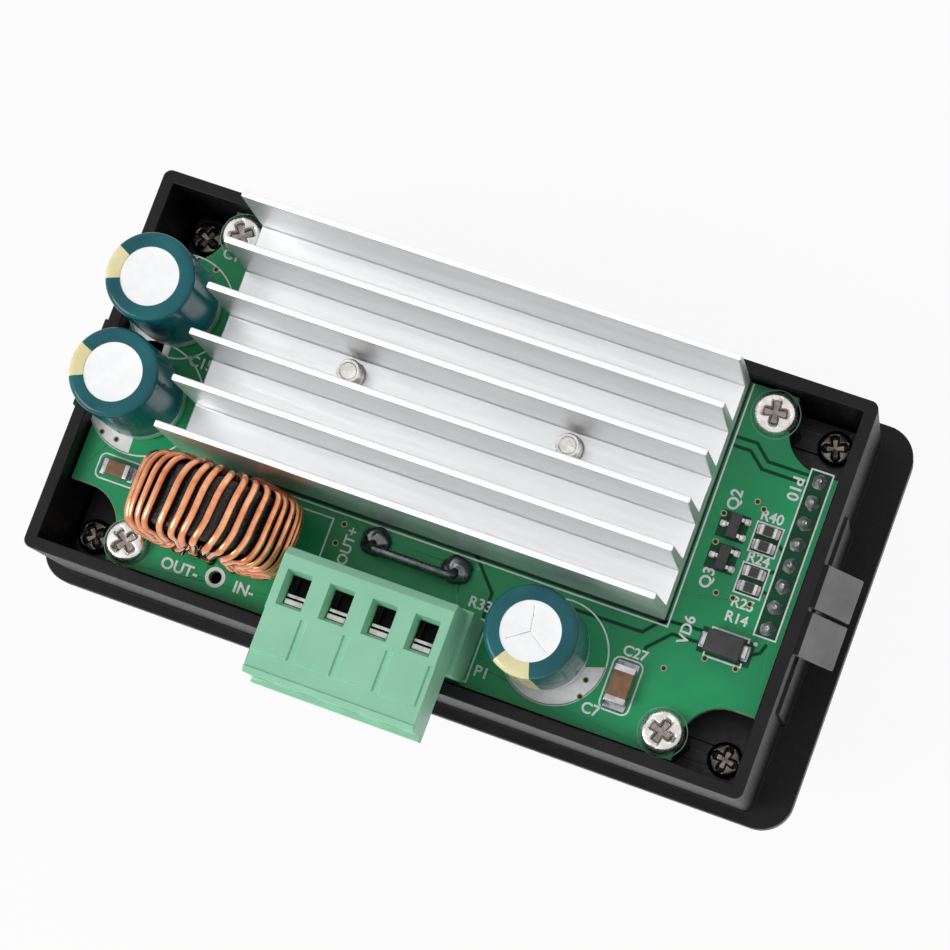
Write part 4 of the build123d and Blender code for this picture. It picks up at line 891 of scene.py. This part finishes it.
def jointShape(j, seed):
    # a small solder cone, radius and height waved round the circle
    radius, height = (np.array(j[k], float)[:, None] for k in ("radius", "height"))
    angle = ringAngles(j["sides"])
    r = radius * (1 + 0.07 * np.sin(2 * angle + seed) + 0.05 * np.sin(5 * angle - seed))
    z = height * (1 + 0.12 * np.sin(angle + 2 * seed) * (radius > 0))
    return gridShape(polarPoints(r, angle, z))


joints = [placed(jointShape(joint, 1.7 * k), joint["middle"][0],
                 joint["middle"][1] + (k - (joint["count"] - 1) / 2) * joint["pitch"], boardTop)
          for k in range(joint["count"])]
addPiece("link_joints", joinShapes(*joints), [jointSolder], "link_solder")
print("shunt and solder")


# Terminal

_, plugHigh, plugMiddle = boxOf("terminal_plug")
plug = {"edge": 0.08, "headerEdge": 0.1, "contactEdge": 0.05, "deckDepth": 2.45,
        "pocketFront": -26.0, "pocketBack": -16.4, "pocketLow": 25.0, "pocketHalf": 10.0,
        "brightAbove": 30.5}
funnel = {"outer": (1.49, 2.04), "inner": (1.2, 1.72), "corner": 0.12, "top": 0.12,
          "taper": 1.3, "low": 2.3, "poles": (-8.64, -3.56, 1.52, 6.6), "y": -19.1}
strip = {"half": 1.12, "edge": 0.1, "bars": ((-1.66, -0.98, 0.5, 2.3), (-0.8, -0.36, 0.35, 2.42))}


def plugPart(x, y, z, normal):
    # the walls of the clamp pockets are painted near black, as painted shade
    inPocket = plug["pocketFront"] < y < plug["pocketBack"] and z > plug["pocketLow"]
    under = z < plugHigh[2] - plug["deckDepth"] and abs(x - plugMiddle[0]) < plug["pocketHalf"]
    return 1 if inPocket and under else 0


def contactPart(x, y, z, normal):
    # only the top of the bars keeps the bright tin; below it they are painted near black, as
    # painted shade
    return 1 if z > plug["brightAbove"] else 0


def funnelShape(f):
    # a rectangle at the mouth's rim, drawn in on the way down, then straight, and back outside
    rings = []
    for half, depth in (("outer", "top"), ("inner", "taper"), ("inner", "low"), ("outer", "low")):
        outline = roundedOutline(*f[half], f["corner"])
        rings.append(np.c_[outline, np.full(len(outline), -f[depth])])
    return gridShape(np.array(rings), closeRows=True)


softCopy("terminal_header", plug["headerEdge"], [finishes["mint_plastic"]])
softCopy("terminal_plug", plug["edge"], [finishes["mint_plastic"], pocketPaintedShade],
         flatFaces=False, pick=plugPart)
funnels = [placed(funnelShape(funnel), x, funnel["y"], plugHigh[2]) for x in funnel["poles"]]
addPiece("mouth_funnels", joinShapes(*funnels), [finishes["mint_plastic"]], body="plug",
         smoothUnder=20)
strips = [placed(softBlock((-strip["half"], y0, 0), (strip["half"], y1, thick), strip["edge"],
                           strip["edge"]), x, funnel["y"], plugHigh[2] - depth)
          for x in funnel["poles"] for y0, y1, thick, depth in strip["bars"]]
addPiece("mouth_strips", joinShapes(*strips), [tin], body="plug")
softCopy("plug_contacts", plug["contactEdge"], [contactPaintedShade, tin], segments=1, flatFaces=False,
         pick=contactPart)
print("terminal")


# Small parts

ceramicSpots = [(27.0, -15.9, 2.5, 4.4, 1.8, 0.75, "y"), (-37.4, -11.7, 3.3, 1.75, 1.5, 0.6, "x")]
resistor = {"x": 36.95, "rows": (6.2, 4.4, 1.2, -0.6), "size": (2.0, 1.25), "thick": 0.55,
            "end": 0.38, "cover": 0.55, "coverLow": 0.5, "coverHigh": 0.59}
trio = {"rows": (5.5, 1.7), "left": 32.4, "right": 33.7, "half": 1.45, "low": 0.08, "high": 1.0,
        "legY": 0.95, "legWidth": 0.42}
diode = {"low": (34.45, -9.1, 17.7), "high": (38.75, -6.5, boxOf("smd_diode")[1][2]),
         "x": 36.6, "tabFrom": 2.0, "tabTo": 2.7, "tabLow": (-8.5, 17.5), "tabHigh": (-7.1, 18.5)}
padPairs = [(27.0, -15.9, 0, 2.35, 2.7, 1.1, 0.16), (-37.4, -11.7, 1.75, 0, 0.9, 2.0, 0.16),
            (36.6, -7.8, 2.35, 0, 1.3, 1.9, 0.2)]
padPairs += [(resistor["x"], y, 1.05, 0, 0.75, 1.3, 0.2) for y in resistor["rows"]]
padPairs += [(34.35, y, 0, trio["legY"], 0.9, 0.8, 0.14) for y in trio["rows"]]


def chipBlock(x, y, sizeX, sizeY, thick, end, along):
    # a body with two metal ends that stand a little proud of it
    z, axis = boardTop, "xy".index(along)
    half = np.array([sizeX, sizeY]) / 2
    low, high = np.array([x, y]) - half, np.array([x, y]) + half
    leftHigh, rightLow = high.copy(), low.copy()
    leftHigh[axis], rightLow[axis] = low[axis] + end, high[axis] - end
    return [softBlock([*(low + 0.03), z + 0.03], [*(high - 0.03), z + thick - 0.03], 0.12, 0.06),
            softBlock([*low, z], [*leftHigh, z + thick], 0.14, 0.09, slot=1),
            softBlock([*rightLow, z], [*high, z + thick], 0.14, 0.09, slot=1)]


def padOf(x, y, sizeX, sizeY, height):
    # a low round-edged block of solder
    return softBlock([x - sizeX / 2, y - sizeY / 2, boardTop],
                     [x + sizeX / 2, y + sizeY / 2, boardTop + height], 0.25,
                     min(height * 0.8, 0.2))


def gullLeg(x, y, outward, width):
    # a flat strip bent out of the body and down to the board: tall S of a thin rectangle
    run = np.array([-0.25, 0.1, 0.28, 0.36, 0.5, 0.75])
    rise = np.array([0.55, 0.55, 0.42, 0.14, 0.07, 0.07])
    line = np.stack([x + outward * run, np.full(6, y), boardTop + rise + 0.04], -1)
    wide, thin = np.array([0, width / 2, 0]), np.array([0, 0, 0.07])
    corners = [line + wide + thin, line - wide + thin, line - wide - thin, line + wide - thin]
    return gridShape(np.stack(corners, 1), caps=True, slot=1)


ceramics = [block for spot in ceramicSpots for block in chipBlock(*spot)]
addPiece("ceramic_bodies", joinShapes(*ceramics), [finishes["ceramic_brown"], tin],
         "ceramic_capacitors")

resistors, cover = [], resistor["cover"]
for y in resistor["rows"]:
    resistors += chipBlock(resistor["x"], y, *resistor["size"], resistor["thick"],
                           resistor["end"], "x")
    resistors.append(softBlock(
        [resistor["x"] - cover, y - cover, boardTop + resistor["coverLow"]],
        [resistor["x"] + cover, y + cover, boardTop + resistor["coverHigh"]], 0.05, 0.02, slot=2))
addPiece("resistor_bodies", joinShapes(*resistors), [ceramicWhite, tin, finishes["chip_black"]],
         "chip_resistors")

pads = [padOf(x + s * apartX, y + s * apartY, sizeX, sizeY, height)
        for x, y, apartX, apartY, sizeX, sizeY, height in padPairs for s in (-1, 1)]
pads += [padOf(31.75, y, 0.9, 0.8, 0.14) for y in trio["rows"]]
addPiece("solder_pads", joinShapes(*pads), [solderGrey], body="module")

trios = []
for y in trio["rows"]:
    trios.append(softBlock([trio["left"], y - trio["half"], boardTop + trio["low"]],
                           [trio["right"], y + trio["half"], boardTop + trio["high"]], 0.12, 0.14))
    trios += [gullLeg(trio["right"], y + s * trio["legY"], 1, trio["legWidth"]) for s in (-1, 1)]
    trios.append(gullLeg(trio["left"], y, -1, trio["legWidth"]))
addPiece("transistor_bodies", joinShapes(*trios), [finishes["chip_black"], tin],
         "small_transistors")

diodeBlocks = [softBlock(diode["low"], diode["high"], 0.2, 0.22)]
for side in (-1, 1):
    left, right = sorted(diode["x"] + side * diode[reach] for reach in ("tabFrom", "tabTo"))
    diodeBlocks.append(softBlock([left, *diode["tabLow"]], [right, *diode["tabHigh"]], 0.1, 0.1,
                                 slot=1))
addPiece("diode_body", joinShapes(*diodeBlocks), [finishes["chip_black"], tin], "smd_diode")
print("small parts")


# Knob

knobLow, knobHigh, knobMiddle = boxOf("encoder_knob")
knob = {"flutes": 18, "fluteDepth": 0.35, "radius": 6.75, "dish": 0.5, "dishRadius": 5.2,
        "bore": 3.1, "boreDepth": 2, "sides": 216}


def knobShape(k):
    # radius less a rounded wave for the flutes on the side; the top is dished by a square law;
    # the back is hollow round the shaft
    height, wide, flat = knobHigh[2] - knobLow[2], k["radius"], k["dishRadius"]
    angle = ringAngles(k["sides"])
    radiusRows = np.array([0, 2, 4, flat, 5.7, 6.1, 6.45, 6.7, wide, wide, wide, wide, 6.6, 6.2])
    dish = k["dish"] * (1 - (radiusRows[:4] / flat) ** 2)
    depthRows = np.r_[dish, 0.02, 0.12, 0.32, 0.7, 1.2, 3.5, 6.0, height - 0.5,
                      height - 0.15, height]
    amount = np.r_[np.zeros(5), 0.2, 0.6, 0.9, 1, 1, 1, 1, 0.6, 0]
    wave = 0.5 - 0.5 * np.cos(angle * k["flutes"])
    r = radiusRows[:, None] - k["fluteDepth"] * amount[:, None] * wave
    outer = polarPoints(r, angle, (knobLow[2] + depthRows)[:, None])
    hollow, deep = np.array([[flat], [flat], [k["bore"]]]), knobLow[2] + k["boreDepth"]
    inner = polarPoints(hollow, angle, [[knobHigh[2]], [deep], [deep]])
    pole = inner[-1:] * [0, 0, 1]
    return gridShape(np.concatenate([outer, inner, pole]))


addPiece("fluted_knob", placed(knobShape(knob), knobMiddle[0], knobMiddle[1]),
         [finishes[slotOf["encoder_knob"]]], "encoder_knob")
print("knob")


# Studio

studio = {"floorHalf": 3, "floorGlow": 0.93, "paper": (243, 248), "grain": 40,
          "worldLight": 0.4, "backdrop": 1.0, "aim": (0, 0, 0.015),
          "lamps": [("keyBox", (-0.42, -0.34, 0.55), 0.35, 2.8),
                    ("fillBox", (0.5, 0.45, 0.6), 0.7, 0.15)]}
eye = {"place": (71.965, -41.443, 377.364), "turn": (10.02708, 7.91746, 20.26997),
       "lens": 121.08}

half = studio["floorHalf"]
floorMesh = bpy.data.meshes.new("floor")
floorMesh.from_pydata([(x, y, cadBox[0][2]) for x, y in box2d(-half, -half, half, half)], [],
                      [(0, 1, 2, 3)])
floor = addObject("floor", floorMesh)


def seenFactor(tree):
    # 1 for camera, glossy and transmission rays, 0 for the rest
    rays = makeNode(tree, "LightPath")
    last = rays.outputs["Is Camera Ray"]
    for name in ("Is Glossy Ray", "Is Transmission Ray"):
        more = makeNode(tree, "Math")
        more.operation = "MAXIMUM"
        tree.links.new(last, more.inputs[0])
        tree.links.new(rays.outputs[name], more.inputs[1])
        last = more.outputs[0]
    return last


def mixShaders(tree, factor, first, second, output):
    # the first shader at 0, the second at 1, into the tree's output node
    mixer = makeNode(tree, "MixShader")
    tree.links.new(factor, mixer.inputs["Fac"])
    tree.links.new(first, mixer.inputs[1])
    tree.links.new(second, mixer.inputs[2])
    tree.links.new(mixer.outputs["Shader"], tree.nodes[output].inputs["Surface"])


floorPaint = bpy.data.materials.new("floorPaper")
floorPaint.use_nodes = True
tree = floorPaint.node_tree
paper = setInputs(tree.nodes["Principled BSDF"], ("Roughness", 0.9))
grain = makeNode(tree, "TexNoise", ("Scale", studio["grain"]))
tree.links.new(makeNode(tree, "TexCoord").outputs["Object"], grain.inputs["Vector"])
tone = makeNode(tree, "ValToRGB")
paintRamp(tone, (0, 1), [(level, level, level) for level in studio["paper"]])
tree.links.new(grain.outputs["Fac"], tone.inputs["Fac"])
tree.links.new(tone.outputs["Color"], paper.inputs["Base Color"])
glow = makeNode(tree, "Emission", ("Strength", 1.0))
share = makeNode(tree, "Math", (1, studio["floorGlow"]))
share.operation = "MULTIPLY"
tree.links.new(seenFactor(tree), share.inputs[0])
mixShaders(tree, share.outputs[0], paper.outputs["BSDF"], glow.outputs["Emission"],
           "Material Output")
floorMesh.materials.append(floorPaint)

world = bpy.data.worlds.new("studio")
world.use_nodes = True
bpy.context.scene.world = world
tree = world.node_tree
plain, white = tree.nodes["Background"], makeNode(tree, "Background")
for ground, strength in ((plain, studio["worldLight"]), (white, studio["backdrop"])):
    setInputs(ground, ("Color", (1, 1, 1, 1)), ("Strength", strength))
mixShaders(tree, seenFactor(tree), plain.outputs["Background"], white.outputs["Background"],
           "World Output")


def softLamp(name, place, size, power):
    # a square lamp turned towards the object's middle
    light = bpy.data.lights.new(name, "AREA")
    light.shape, light.size, light.energy = "SQUARE", size, power
    lamp = addObject(name, light)
    place = np.array(place)
    away = place - np.array(studio["aim"])
    away /= np.linalg.norm(away)
    side = np.cross([0, 0, 1], away)
    side /= np.linalg.norm(side)
    up = np.cross(away, side)
    turn = np.eye(4)
    turn[:3, 0], turn[:3, 1], turn[:3, 2], turn[:3, 3] = side, up, away, place
    lamp.matrix_world = Matrix(turn.tolist())


for lampSetting in studio["lamps"]:
    softLamp(*lampSetting)

cameraData = bpy.data.cameras.new("camera")
cameraData.lens, cameraData.sensor_width = eye["lens"], 36
cameraData.clip_start, cameraData.clip_end = 0.01, 20
camera = addObject("camera", cameraData)
camera.location = [v * mm for v in eye["place"]]
camera.rotation_euler = [math.radians(v) for v in eye["turn"]]
bpy.context.scene.camera = camera
bpy.context.scene.view_settings.view_transform = "Standard"
print("studio")
